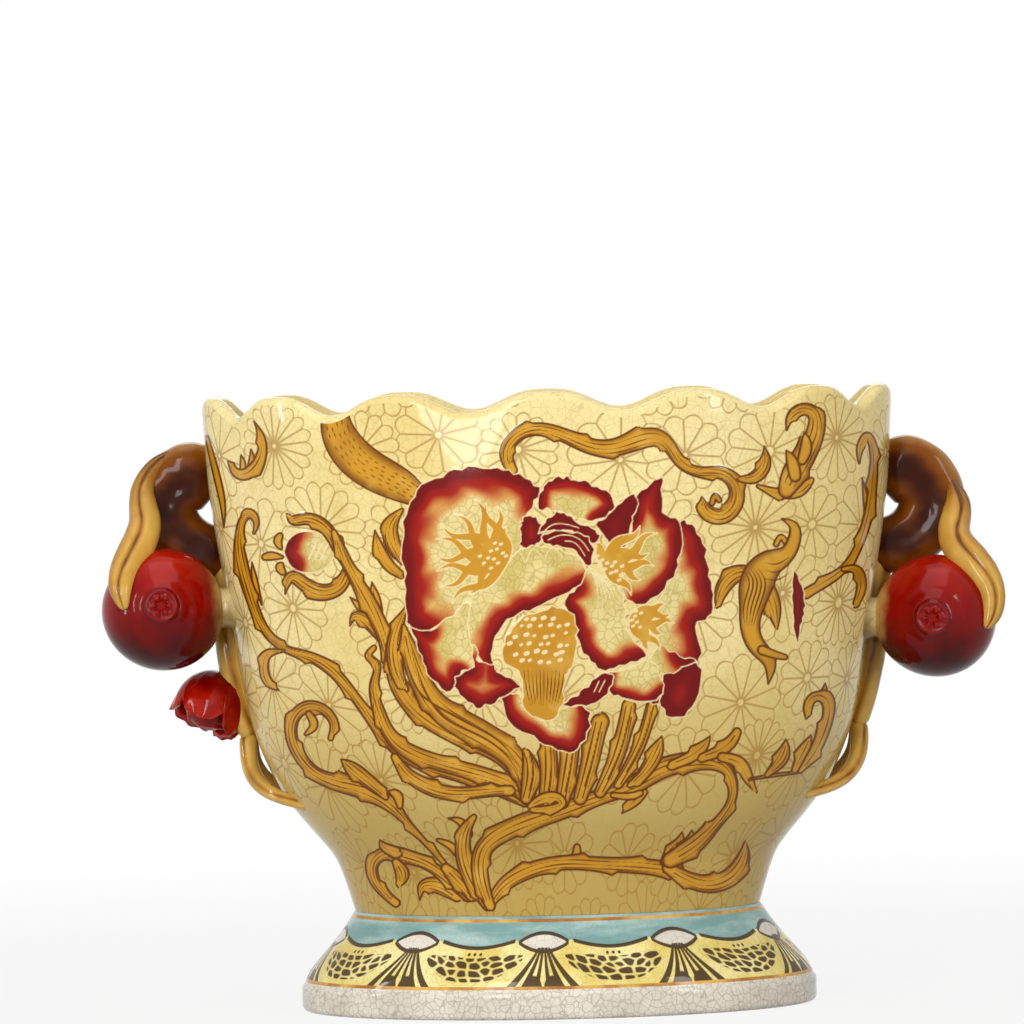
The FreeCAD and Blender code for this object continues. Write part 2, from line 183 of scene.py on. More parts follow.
def grid_piece(name, grid, material, layers, ends=True):
    """A closed mesh of ring rows in millimetres; its end rings are filled, or else joined to each other."""
    rows, columns, _ = grid.shape
    index = np.arange(rows * columns).reshape(rows, columns)
    nearer, further = (index[:-1], index[1:]) if ends else (index, np.roll(index, -1, axis=0))
    quads = np.stack([nearer, np.roll(nearer, -1, 1), np.roll(further, -1, 1), further], -1).reshape(-1, 4)
    places = grid.reshape(-1, 3)
    a, b, c, d = (places[quads[:, k]] for k in range(4))
    volume = np.sum(np.cross(c - a, d - b) * (a + b + c + d))
    caps = [index[0][::-1], index[-1]] if ends else []
    if volume < 0:
        quads = quads[:, ::-1]
        caps = [cap[::-1] for cap in caps]
    loops = np.concatenate([quads.ravel()] + caps).astype(np.int32)
    cap_starts = [quads.size + number * columns for number in range(len(caps))]
    starts = np.concatenate([np.arange(len(quads)) * 4, cap_starts]).astype(np.int32)
    mesh = bpy.data.meshes.new(name)
    mesh.vertices.add(len(places))
    mesh.vertices.foreach_set("co", (places * MM).astype(np.float32).ravel())
    mesh.loops.add(len(loops))
    mesh.loops.foreach_set("vertex_index", loops)
    mesh.polygons.add(len(starts))
    mesh.polygons.foreach_set("loop_start", starts)
    mesh.update(calc_edges=True)
    mesh.validate()
    mesh.polygons.foreach_set("use_smooth", np.ones(len(starts), bool))
    for layer, values in layers.items():
        store = mesh.attributes.new(layer, "FLOAT", "POINT")
        store.data.foreach_set("value", np.asarray(values, np.float32).ravel())
    mesh.materials.append(material)
    piece = bpy.data.objects.new(name, mesh)
    bpy.context.scene.collection.objects.link(piece)
    return piece


def dress(piece, node):
    """Fixes a piece to the object's one body and hides the imported node that it stands in for."""
    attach(piece, "root")
    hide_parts(node)


# Shader helpers
GLAZE_SPECULAR = 0.06
GLAZE_COAT_ROUGHNESS = 0.04
NOISE_DETAIL = 4.0
CRACK_STRENGTH = 0.05
CRACK_DEPTH = 0.3 * MM
# The sockets of a mix node that hold its two colours, and the one that gives their mix.
MIX_UNDER = 6
MIX_OVER = 7
MIX_RESULT = 2


class Paint:
    """A node material that mixes colours layer by layer onto one glazed surface."""

    def __init__(self, name, roughness, coat):
        self.material = bpy.data.materials.new(name)
        self.material.use_nodes = True
        self.nodes = self.material.node_tree.nodes
        self.links = self.material.node_tree.links
        self.surface = self.nodes["Principled BSDF"]
        self.surface.inputs["Roughness"].default_value = roughness
        self.surface.inputs["Specular IOR Level"].default_value = GLAZE_SPECULAR
        self.surface.inputs["Coat Weight"].default_value = coat
        self.surface.inputs["Coat Roughness"].default_value = GLAZE_COAT_ROUGHNESS
        self.colour = None

    def add(self, kind, **settings):
        made = self.nodes.new(f"ShaderNode{kind}")
        for name, value in settings.items():
            setattr(made, name, value)
        return made

    def feed(self, socket, value):
        """Sets a socket to a number or colour, or links it to another node's output."""
        if isinstance(value, bpy.types.NodeSocket):
            self.links.new(value, socket)
        elif isinstance(value, tuple) and len(value) == 3:
            socket.default_value = (*value, 1.0)
        else:
            socket.default_value = value

    def layer(self, name):
        return self.add("Attribute", attribute_name=name).outputs["Fac"]

    def place(self, scale=(1, 1, 1)):
        """The place on the object in metres, stretched by scale."""
        where = self.add("TexCoord").outputs["Object"]
        if scale == (1, 1, 1):
            return where
        stretch = self.add("Mapping")
        self.feed(stretch.inputs["Vector"], where)
        stretch.inputs["Scale"].default_value = scale
        return stretch.outputs["Vector"]

    def height(self):
        """The height above the floor in metres."""
        parts = self.add("SeparateXYZ")
        self.feed(parts.inputs["Vector"], self.place())
        return parts.outputs["Z"]

    def noise(self, per_metre, scale=(1, 1, 1)):
        """Soft patches, so many to the metre."""
        made = self.add("TexNoise")
        self.feed(made.inputs["Vector"], self.place(scale))
        made.inputs["Scale"].default_value = per_metre
        made.inputs["Detail"].default_value = NOISE_DETAIL
        return made.outputs["Fac"]

    def cracks(self, per_metre):
        """Distance to the nearest crack of a net, in cell widths."""
        made = self.add("TexVoronoi", feature="DISTANCE_TO_EDGE")
        self.feed(made.inputs["Vector"], self.place())
        made.inputs["Scale"].default_value = per_metre
        return made.outputs["Distance"]

    def ramp(self, value, low, high, bottom=0.0, top=1.0):
        """A smooth step from bottom at low to top at high."""
        made = self.add("MapRange", interpolation_type="SMOOTHSTEP")
        self.feed(made.inputs["Value"], value)
        for name, number in (("From Min", low), ("From Max", high), ("To Min", bottom), ("To Max", top)):
            made.inputs[name].default_value = number
        return made.outputs["Result"]

    def reckon(self, operation, one, other):
        made = self.add("Math", operation=operation)
        self.feed(made.inputs[0], one)
        self.feed(made.inputs[1], other)
        return made.outputs["Value"]

    def times(self, one, other):
        return self.reckon("MULTIPLY", one, other)

    def plus(self, one, other):
        return self.reckon("ADD", one, other)

    def over(self, colour, share):
        """Lays a colour over what is there, by a share from 0 to 1."""
        self.colour = self.blend(self.colour, colour, share)

    def blend(self, under, upper, share):
        made = self.add("Mix", data_type="RGBA")
        self.feed(made.inputs["Factor"], share)
        self.feed(made.inputs[MIX_UNDER], under)
        self.feed(made.inputs[MIX_OVER], upper)
        return made.outputs[MIX_RESULT]

    def emboss(self, height):
        """Lets the light see the crackle as slight relief."""
        made = self.add("Bump")
        made.inputs["Strength"].default_value = CRACK_STRENGTH
        made.inputs["Distance"].default_value = CRACK_DEPTH
        self.feed(made.inputs["Height"], height)
        self.feed(self.surface.inputs["Normal"], made.outputs["Normal"])

    def finish(self):
        self.feed(self.surface.inputs["Base Color"], self.colour)
        return self.material


def srgb(red, green, blue):
    """A colour given as screen values from 0 to 255, as linear light."""
    return tuple((value / 255) ** 2.2 for value in (red, green, blue))


# Bowl shape
def bowl_height(share):
    return WAIST_HEIGHT + share * (RIM_HEIGHT - WAIST_HEIGHT)


OUTLINE_STEPS = 2000
ANGLE_STEPS = 8001
BOWL_OUTLINE = smooth_curve(
    [
        (WAIST_HALF_WIDTH + out * (RIM_HALF_WIDTH - WAIST_HALF_WIDTH), bowl_height(up))
        for up, out in BOWL_PROFILE_SHARES
    ],
    OUTLINE_STEPS,
    axes=2,
)


def half_width_at(height):
    return np.interp(height, BOWL_OUTLINE[:, 1], BOWL_OUTLINE[:, 0])


def lobe_wave(angle):
    """From 0 in the dip between two lobes to 1 at the crest; a crest faces the front."""
    return (1 + np.cos(RIM_LOBES * (angle + math.pi / 2))) / 2


def rim_edge(angle):
    return RIM_HEIGHT - SCALLOP_DEPTH * (1 - lobe_wave(angle)) ** DIP_SHARPNESS


def bowl_place(angle, height, inset):
    """Places on the bowl's wall, drawn in by inset."""
    half = half_width_at(height)
    share = (height - WAIST_HEIGHT) / (RIM_HEIGHT - WAIST_HEIGHT)
    grown = LOBE_BULGE * smoothstep(BULGE_START_SHARE, 1.0, share) * lobe_wave(angle) - inset
    return round_places(angle, half + grown, half * DEPTH_SHARE + grown, height)


def bowl_angles():
    """Angles round the bowl, stepped closer on the painted front than on the back."""
    fine = np.linspace(-math.pi, math.pi, ANGLE_STEPS)
    middle = (fine[1:] + fine[:-1]) / 2
    length = np.hypot(RIM_HALF_WIDTH * np.sin(middle), RIM_HALF_DEPTH * np.cos(middle)) * np.diff(fine)
    spacing = np.where(np.sin(middle) < 0, FRONT_SPACING, BACK_SPACING)
    count = np.concatenate([[0.0], np.cumsum(length / spacing)])
    total = int(count[-1])
    return np.interp(np.arange(total) * count[-1] / total, count, fine)


# Painting: shapes are drawn on the sheet and kept as distances at the mesh points, in sheet units.
INK_HALF_WIDTH = 1.0
EDGE_HALF_WIDTH = 0.65
VEIN_SHIFTS = (-0.4, 0.15, 0.6)
VEIN_SHARE = 0.16
VEIN_MOST = 0.9
VEIN_THINNED = 0.15
VEINED_FROM = 4.5
MANY_VEINED_FROM = 6.5
BARB_SPACING = 58
BARB_HEIGHT = 3.4
BARB_SHARPNESS = 5
BARB_PEAK = 0.9
SHEET_STEPS = 9
TEETH_PER_KNOT = 4
SHAPE_MARGIN = 6
LINE_MARGIN = 4
RED_STEPS = 8
RED_WAVER = 0.14
PATCH_SHADE = 0.55
TONGUE_SHADE = 0.5
TONGUE_BOW = 0.10


def to_sheet(places):
    """Where places show on the drawing sheet; the back carries the same drawing, turned half round."""
    front = np.where(places[..., 1:2] < 0, 1.0, -1.0)
    seen = places * np.concatenate([front, front, np.ones_like(front)], -1) - EYE
    ahead = (EYE_AIM - EYE) / np.linalg.norm(EYE_AIM - EYE)
    right = np.cross(ahead, [0, 0, 1])
    right /= np.linalg.norm(right)
    up = np.cross(right, ahead)
    across = EYE_FOCAL * (seen @ right) / (seen @ ahead)
    down = -EYE_FOCAL * (seen @ up) / (seen @ ahead)
    turn, lean = math.cos(EYE_ROLL), math.sin(EYE_ROLL)
    middle = SHEET_SIDE / 2
    return middle + across * turn - down * lean, middle + across * lean + down * turn


def unit_sides(steps):
    """Unit vectors across a row of steps."""
    sideways = np.stack([-steps[:, 1], steps[:, 0]], -1)
    return sideways / np.maximum(np.linalg.norm(steps, axis=1), 1e-6)[:, None]


class Painting:
    """Layers of distances at the points of a surface; below zero is inside a shape."""

    def __init__(self, across, down):
        self.across = across.astype(np.float32)
        self.down = down.astype(np.float32)
        fields = ("gold", "ink", "petal", "white")
        self.layers = {field: np.full(across.shape, FAR, np.float32) for field in fields}
        self.layers["red"] = np.zeros(across.shape, np.float32)
        self.layers["shade"] = np.zeros(across.shape, np.float32)

    def near(self, line, margin):
        """The numbers of the points within a margin of the box round a line."""
        low = line[:, :2].min(axis=0) - margin
        high = line[:, :2].max(axis=0) + margin
        inside = (self.across > low[0]) & (self.across < high[0])
        inside &= (self.down > low[1]) & (self.down < high[1])
        return np.nonzero(inside)[0]

    def to_line(self, line, at):
        """Distance to a line less its half width there, that half width, the way along it and the side."""
        px, py = self.across[at], self.down[at]
        best = np.full(len(at), FAR, np.float32)
        width = np.ones(len(at), np.float32)
        way = np.zeros(len(at), np.float32)
        side = np.zeros(len(at), bool)
        gone = 0.0
        for (x0, y0, w0), (x1, y1, w1) in zip(line[:-1], line[1:]):
            dx, dy = x1 - x0, y1 - y0
            share = np.clip(((px - x0) * dx + (py - y0) * dy) / (dx * dx + dy * dy + 1e-9), 0, 1)
            half = w0 + share * (w1 - w0)
            gap = np.hypot(px - x0 - share * dx, py - y0 - share * dy) - half
            nearer = gap < best
            best = np.where(nearer, gap, best)
            width = np.where(nearer, half, width)
            way = np.where(nearer, gone + share * math.hypot(dx, dy), way)
            side = np.where(nearer, dx * (py - y0) > dy * (px - x0), side)
            gone += math.hypot(dx, dy)
        return best, width, way, side

    def to_outline(self, line, at):
        """Signed distance from points to a closed outline."""
        px, py = self.across[at], self.down[at]
        best = np.full(len(at), FAR, np.float32)
        inside = np.zeros(len(at), bool)
        for (x0, y0), (x1, y1) in zip(line, np.roll(line, -1, axis=0)):
            dx, dy = x1 - x0, y1 - y0
            share = np.clip(((px - x0) * dx + (py - y0) * dy) / (dx * dx + dy * dy + 1e-9), 0, 1)
            best = np.minimum(best, np.hypot(px - x0 - share * dx, py - y0 - share * dy))
            crosses = ((y0 > py) != (y1 > py)) & (px < x0 + (py - y0) * dx / (dy + 1e-12))
            inside ^= crosses
        return np.where(inside, -best, best)

    def curve(self, knots):
        return smooth_curve(knots, SHEET_STEPS * (len(knots) - 1) + 1, axes=2)

    def put(self, field, at, gap):
        """Adds a shape to a layer."""
        self.layers[field][at] = np.minimum(self.layers[field][at], gap)

    def clear(self, at, gap, *fields):
        """Takes a shape out of layers, so that it hides what is older there."""
        for field in fields:
            self.layers[field][at] = np.maximum(self.layers[field][at], -gap)

    def tint(self, field, at, gap, value):
        """Sets a layer of shares inside a shape."""
        self.layers[field][at] = np.where(gap < 0, value, self.layers[field][at])

    def gild(self, at, gap, shade):
        """Lays a gold shape over what is older, with a shade from 0 to 1."""
        self.clear(at, gap, "ink", "white", "petal")
        self.put("gold", at, gap)
        self.tint("shade", at, gap, shade)

    def leaf(self, *knots, vein=True):
        """A gold leaf or stem along (x, y, half width) knots, with a brown outline, veins and hooks."""
        line = self.curve(knots)
        widest = line[:, 2].max()
        at = self.near(line, widest + SHAPE_MARGIN)
        gap, width, way, side = self.to_line(line, at)
        if vein and widest > VEINED_FROM:
            share = (way / BARB_SPACING + 0.5 * side) % 1
            barb = np.minimum((share / BARB_PEAK) ** BARB_SHARPNESS, (1 - share) / (1 - BARB_PEAK))
            gap = gap - BARB_HEIGHT * barb
        self.gild(at, gap, 1 + gap / np.maximum(width, 1))
        self.put("ink", at, np.abs(gap + INK_HALF_WIDTH / 2) - INK_HALF_WIDTH)
        if vein and widest > VEINED_FROM:
            sideways = unit_sides(np.gradient(line[:, :2], axis=0))
            for shift in VEIN_SHIFTS if widest > MANY_VEINED_FROM else VEIN_SHIFTS[1:2]:
                vein_line = line.copy()
                vein_line[:, :2] += sideways * shift * line[:, 2:3]
                fade = 0.75 + 0.25 * np.sin(0.3 * np.arange(len(line)) + 4 * shift)
                vein_line[:, 2] = np.minimum(VEIN_SHARE * line[:, 2], VEIN_MOST) * fade - VEIN_THINNED
                self.scratch(vein_line[3:-2])

    def scratch(self, line, field="ink"):
        """A thin line, brown unless another layer is named."""
        at = self.near(line, LINE_MARGIN)
        self.put(field, at, self.to_line(line, at)[0])

    def line(self, *knots):
        self.scratch(self.curve(knots))

    def thread(self, *knots):
        """A thin raised pale line."""
        self.scratch(self.curve(knots), "white")

    def dots(self, places, size):
        for x, y in places:
            self.thread((x - size * 0.5, y + size * 0.2, size), (x + size * 0.5, y - size * 0.2, size))

    def ragged(self, knots, roughness, seed):
        """A closed curve through knots with an uneven, toothed edge."""
        closed = np.array(list(knots) + [knots[0]], float)
        steps = TEETH_PER_KNOT if roughness else SHEET_STEPS
        line = smooth_curve(closed, steps * len(closed), axes=2)[:-1]
        draw = np.random.default_rng(seed)
        sideways = unit_sides(np.roll(line, -1, axis=0) - np.roll(line, 1, axis=0))
        tooth = draw.uniform(-1, 1, len(line)) * roughness
        return line + sideways * tooth[:, None]

    def edge(self, at, gap):
        """A thin raised pale line round a shape."""
        self.put("white", at, np.abs(gap) - EDGE_HALF_WIDTH)

    def petal(self, *knots, red, reach, roughness=1.6, seed=0):
        """A cream petal; red lists the runs of knots, as (first, last), along which it is red."""
        line = self.ragged(knots, roughness, seed)
        at = self.near(line, SHAPE_MARGIN)
        gap = self.to_outline(line, at)
        self.clear(at, gap, "ink", "white", "gold")
        self.put("petal", at, gap)
        redness = np.zeros(len(at), np.float32)
        closed = list(knots) * 2
        for first, last in red:
            run = np.array([(x, y, 0.0) for x, y in closed[first : last + 1]])
            if len(run) > 2:
                run = smooth_curve(run, RED_STEPS * len(run), axes=2)
            away = self.to_line(run, at)[0]
            waver = np.sin(0.16 * self.across[at] + 2.0 * np.sin(0.11 * self.down[at]))
            redness = np.maximum(redness, np.clip(1 - away / (reach * (1 + RED_WAVER * waver)), 0, 1))
        self.tint("red", at, gap, redness)
        self.edge(at, gap)

    def blob(self, *knots, roughness, seed):
        """A flat gold patch inside a flower, with a pale raised edge."""
        line = self.ragged(knots, roughness, seed)
        at = self.near(line, SHAPE_MARGIN)
        gap = self.to_outline(line, at)
        self.gild(at, gap, PATCH_SHADE)
        self.edge(at, gap)

    def tongues(self, base, tips, width):
        """A burst of wavy flame-like stamens from one base, with a pale outline round it."""
        base = np.array(base, float)
        at = self.near(np.array([base, *tips]), 2 * width + LINE_MARGIN)
        gap = np.full(len(at), FAR, np.float32)
        for number, tip in enumerate(np.array(tips, float)):
            way = tip - base
            bow = np.array([-way[1], way[0]]) * (TONGUE_BOW if number % 2 else -TONGUE_BOW)
            knots = (
                (*base, width),
                (*(base + 0.45 * way + bow), 0.75 * width),
                (*(base + 0.75 * way - 0.5 * bow), 0.45 * width),
                (*tip, 0.3),
            )
            gap = np.minimum(gap, self.to_line(self.curve(knots), at)[0])
        self.gild(at, gap, TONGUE_SHADE)
        self.edge(at, gap)


# The drawing on the front: knots are (x, y) or (x, y, half width) on the sheet.
RIM_LEAF_ROWS = 15
RIM_LEAF_LANES = (-11, -5.5, 0, 5.5, 11)


def paint_left(art):
    """Crescent, S-shaped tendril, bud and scroll on the left."""
    art.leaf((207, 437, 2), (215, 468, 3.5), (223, 505, 3), (224, 527, 0.5))
    art.leaf((241, 455, 0.5), (243, 463, 3), (243, 472, 3), vein=False)
    art.leaf((251, 449, 0.5), (252, 459, 3), (250, 468, 3), vein=False)
    art.leaf(
        (254, 421, 0.4), (262, 438, 3.5), (260, 459, 5.5), (247, 474, 6), (236, 473, 4), (228, 461, 0.4),
    )
    art.leaf((252, 562, 0.4), (255, 580, 3), (262, 605, 0.6))
    art.leaf(
        (254, 533, 1.5), (256, 522, 3), (250, 515, 3.8), (243, 520, 4), (239, 538, 4.5), (241, 560, 6.5),
        (248, 588, 6), (257, 614, 5), (268, 634, 4.5), (284, 648, 4), (305, 655, 5), (328, 667, 6),
        (345, 684, 5.5), (360, 704, 5), (376, 727, 5), (396, 749, 6), (426, 765, 7), (462, 776, 7),
        (498, 789, 7), (525, 801, 6),
    )
    art.leaf((284, 651, 1.5), (268, 655, 4), (264, 670, 4.8), (269, 684, 3.5), (279, 690, 0.6))
    for x, y, dx, dy in ((278, 541, 2, -5), (271, 556, -6, 1), (280, 567, 3, 5)):
        art.leaf((x + 5 - dx, y + 2 - dy, 2), (x, y, 4.5), (x + dx, y + dy, 3.5), vein=False)
    art.petal(
        (284, 552), (292, 536), (308, 531), (324, 536), (334, 552), (325, 568), (308, 573), (293, 568),
        red=((7, 9),), reach=24, roughness=0.3,
    )
    for x in (312, 318, 324):
        art.thread((x - 3, 559, 0.9), (x + 4, 544, 0.9))
    art.leaf((345, 562, 5), (337, 546, 6), (325, 527, 6.5), (306, 519, 6), (293, 521, 4), (287, 516, 0.4))
    art.leaf((348, 566, 4), (341, 585, 7), (323, 592, 8), (304, 584, 7), (292, 578, 5), (285, 594, 0.4))
    art.leaf((372, 582, 0.4), (376, 600, 5), (380, 618, 3))
    art.leaf((350, 597, 0.4), (361, 608, 4), (372, 618, 3), vein=False)
    art.leaf((350, 626, 0.4), (355, 616, 4), (368, 622, 6.5), (380, 638, 4))
    art.leaf(
        (334, 532, 3), (342, 552, 5.5), (352, 573, 6), (368, 601, 8), (380, 627, 7), (388, 652, 6),
        (396, 680, 6.5), (410, 704, 7), (436, 724, 8), (470, 738, 8.5), (503, 754, 8), (522, 776, 7),
        (527, 796, 6),
    )
    art.leaf(
        (445, 864, 2.6), (425, 842, 3), (407, 822, 4), (388, 803, 7.5), (364, 789, 10), (340, 783, 9),
        (317, 774, 6.5), (301, 758, 6), (292, 738, 6), (294, 718, 6), (306, 707, 6), (322, 709, 5.5),
        (333, 722, 4), (331, 738, 3),
    )
    art.leaf((341, 759, 0.4), (351, 767, 6), (368, 781, 7), (386, 797, 3))
    art.leaf((388, 791, 0.5), (397, 795, 5), (400, 806, 3), vein=False)
    art.leaf((309, 714, 3.5), (314, 725, 4.5), (306, 734, 2), vein=False)


def paint_sweeping_leaves(art):
    """The large leaves that rise to the left from the foot of the flower, and the thick one at the rim."""
    art.leaf(
        (374, 648, 3), (369, 656, 3.5), (377, 664, 3.5), (374, 684, 4.5), (380, 713, 6), (393, 739, 7),
        (415, 754, 8), (443, 764, 8), (477, 773, 8), (508, 784, 7), (527, 797, 6),
    )
    art.leaf((395, 757, 4), (407, 773, 6), (426, 786, 7.5), (451, 793, 7), (481, 792, 6), (510, 790, 5))
    art.leaf(
        (389, 645, 3), (395, 676, 8), (409, 702, 9), (432, 722, 9), (463, 738, 9), (497, 753, 9),
        (522, 777, 6),
    )
    art.leaf((402, 510, 2), (391, 526, 7), (393, 545, 7.5), (403, 562, 3))
    art.leaf((375, 530, 0.4), (380, 550, 5.5), (390, 567, 5.5), (401, 577, 2))
    art.leaf((407, 606, 1), (398, 628, 6), (394, 652, 8), (399, 676, 6), (407, 690, 2))
    art.leaf(
        (404, 626, 2), (411, 655, 9), (425, 689, 11), (444, 712, 13), (470, 728, 14), (497, 744, 13),
        (520, 766, 11), (527, 792, 8),
    )
    for shift in (-4, 3):
        art.line(
            (408 + shift, 650, 0.3), (422 + shift, 690, 0.9), (444, 714 + shift, 1.1),
            (472, 729 + shift, 1.1), (500, 746 + shift, 0.9), (521, 772 + shift, 0.3),
        )
    art.leaf(
        (336, 403, 11), (337, 428, 16), (351, 453, 19), (375, 472, 19), (402, 486, 16), (422, 499, 9),
        vein=False,
    )
    draw = np.random.default_rng(11)
    spine = smooth_curve(
        [(337, 406), (338, 428), (352, 453), (375, 472), (402, 486), (420, 498)], RIM_LEAF_ROWS, axes=2
    )
    for step in range(1, RIM_LEAF_ROWS - 1):
        way = spine[step + 1] - spine[step - 1]
        way = way / np.linalg.norm(way)
        side = np.array([-way[1], way[0]])
        for lane in RIM_LEAF_LANES:
            start = spine[step] + side * lane * (1 - step / 40) + way * draw.uniform(-3, 3)
            art.line((*start, 0.3), (*(start + way * 3.2), 0.75), (*(start + way * 6), 0.2))


def paint_base(art):
    """Stems that fork at the foot of the bowl, with the scrolls beside them."""
    art.leaf((420, 900, 0.4), (423, 886, 5), (439, 886, 8), (457, 897, 5))
    art.leaf(
        (396, 903, 4.5), (384, 893, 4.5), (374, 878, 5.5), (374, 862, 6), (386, 853, 7), (405, 856, 7.5),
        (425, 863, 6), (446, 877, 6), (468, 897, 5),
    )
    art.leaf((380, 840, 0.4), (384, 846, 4), (396, 851, 5))
    art.leaf((396, 862, 4), (403, 874, 6.5), (401, 884, 2))
    art.leaf((446, 868, 5), (458, 880, 7), (472, 897, 5))
    art.leaf((438, 840, 2), (451, 846, 4), (461, 858, 4), vein=False)
    art.leaf((448, 818, 0.5), (461, 822, 4), (468, 834, 5), vein=False)
    art.leaf((474, 817, 3), (466, 830, 6), (463, 852, 8), (472, 881, 7), (487, 907, 4))
    art.leaf((577, 847, 3.5), (576, 856, 5), (572, 864, 4), vein=False)
    art.leaf(
        (489, 906, 4), (503, 886, 7), (528, 871, 8), (562, 863, 7.5), (600, 864, 7.5), (640, 866, 8),
        (676, 870, 8),
    )
    art.leaf((668, 868, 6), (690, 880, 8), (712, 884, 9), (733, 874, 9), (744, 856, 6), (746, 843, 0.5))
    art.leaf((682, 832, 0.4), (679, 845, 6), (670, 856, 7), (664, 862, 4))
    art.leaf((692, 830, 0.4), (690, 843, 6), (680, 856, 8), (670, 862, 5))
    art.leaf(
        (670, 860, 8), (694, 845, 9), (714, 826, 6), (730, 804, 4.5), (733, 784, 5), (725, 768, 6.5),
        (705, 761, 9), (680, 763, 10), (657, 771, 10), (634, 784, 9), (600, 797, 8), (566, 809, 9),
        (535, 819, 10), (506, 831, 10), (483, 850, 9), (481, 878, 8), (490, 906, 5),
    )
    art.leaf((662, 736, 0.4), (656, 753, 7), (644, 772, 6), (630, 785, 3))
    art.leaf((710, 736, 0.4), (703, 747, 5), (690, 757, 6), (672, 764, 4))
    art.leaf((737, 732, 4.5), (731, 742, 6), (719, 751, 6), (702, 757, 4))
    art.leaf((722, 757, 5), (739, 762, 6), (746, 774, 6), (754, 791, 0.5))
    art.leaf((645, 792, 3), (635, 801, 5), (622, 813, 0.5))
    art.leaf((640, 793, 3.5), (631, 796, 4), (613, 795, 3))
    art.leaf((750, 779, 1.5), (775, 775, 2), (800, 772, 1.5), vein=False)
    art.leaf((786, 739, 0.4), (783, 756, 6.5), (767, 774, 2.5))
    art.leaf((811, 735, 0.4), (804, 752, 6), (794, 770, 3))
    art.leaf((825, 683, 0.4), (823, 693, 4), (815, 698, 4), vein=False)
    art.leaf(
        (800, 771, 2.5), (813, 753, 5.5), (822, 735, 6), (828, 714, 6), (825, 699, 6), (814, 697, 5),
        (807, 707, 4), (806, 719, 0.5),
    )


def paint_calyx(art):
    """The sheaf of leaves that holds the flower from below."""
    sheaf = (
        ((526, 798, 6), (531, 772, 9), (527, 752, 3)),
        ((545, 804, 7), (549, 772, 9), (548, 744, 8)),
        ((562, 802, 7), (568, 770, 9), (572, 742, 8)),
        ((580, 798, 7), (590, 762, 9), (599, 722, 8)),
        ((600, 792, 6), (618, 752, 8), (629, 706, 7)),
        ((618, 784, 5), (640, 744, 6), (652, 702, 5)),
    )
    for strand in sheaf:
        art.leaf(*strand)
        for shift in (-3, 2.5):
            art.line(*[(x + shift, y, 0.7) for x, y, _ in strand])
    art.leaf((530, 806, 3), (541, 799, 5), (556, 797, 5), (562, 803, 4), (548, 809, 4), (533, 810, 3))


def paint_vine(art):
    """The vine over the flower and the leaves on its right."""
    art.leaf(
        (512, 470, 5.5), (506, 453, 6.5), (517, 436, 6.5), (538, 429, 6.5), (563, 435, 7), (590, 446, 8),
        (616, 447, 9), (641, 439, 10), (659, 438, 8.5), (671, 449, 6.5), (682, 464, 5.5), (702, 472, 5.5),
        (721, 473, 6.5), (735, 485, 7.5), (735, 504, 8), (722, 516, 8), (707, 511, 7), (702, 498, 1.5),
    )
    art.leaf((719, 500, 3), (715, 496, 3), (712, 503, 3), vein=False)
    art.leaf((764, 446, 0.4), (765, 464, 6), (754, 477, 6), (741, 478, 2))
    art.leaf((758, 486, 2), (780, 493, 5), (800, 491, 5.5), (811, 480, 3))
    art.leaf(
        (786, 490, 8), (794, 473, 12), (807, 451, 11), (815, 432, 9), (814, 414, 7), (803, 409, 6),
        (791, 416, 4.5), (787, 430, 0.6),
    )
    art.leaf((786, 450, 0.5), (792, 462, 6), (795, 476, 6), vein=False)
    art.leaf((804, 432, 0.5), (806, 446, 6), (802, 460, 5), vein=False)
    art.leaf((862, 478, 0.5), (866, 505, 3), (866, 525, 1))
    art.leaf(
        (859, 463, 1), (860, 446, 3.5), (867, 436, 4), (873, 450, 4), (873, 480, 4.5), (869, 511, 4.8),
        (860, 542, 4.2), (845, 567, 4.2), (827, 581, 5), (806, 593, 5),
    )
    art.leaf((843, 569, 2.5), (857, 570, 4.5), (861, 587, 5), (855, 603, 2.5))
    art.petal(
        (792, 568), (799, 579), (804, 592), (804, 612), (800, 630), (797, 642), (793, 626), (792, 604),
        (792, 585), red=((0, 8),), reach=30, roughness=1.0,
    )
    art.leaf((776, 544, 3), (781, 537, 3), (786, 543, 3), vein=False)
    art.leaf((765, 588, 10), (773, 608, 8), (776, 628, 1))
    art.leaf((752, 572, 6), (735, 575, 8), (722, 589, 7), (716, 607, 0.5))
    art.leaf(
        (782, 519, 1), (794, 527, 5), (793, 543, 7), (784, 556, 9), (768, 565, 14), (757, 582, 17),
        (752, 604, 13), (750, 626, 10), (757, 646, 9), (769, 661, 7), (768, 684, 0.6), vein=False,
    )
    art.leaf((762, 650, 5), (776, 655, 4), (785, 657, 3), vein=False)
    for shift in range(-8, 12, 4):
        art.line(
            (748 + shift, 566, 0.3), (757 + shift, 582, 0.8), (752 + shift, 604, 0.8),
            (749 + shift / 2, 626, 0.3),
        )
    for y in (562, 570, 578):
        art.line((764, y, 0.3), (776, y + 2, 0.8), (789, y - 5, 0.3))


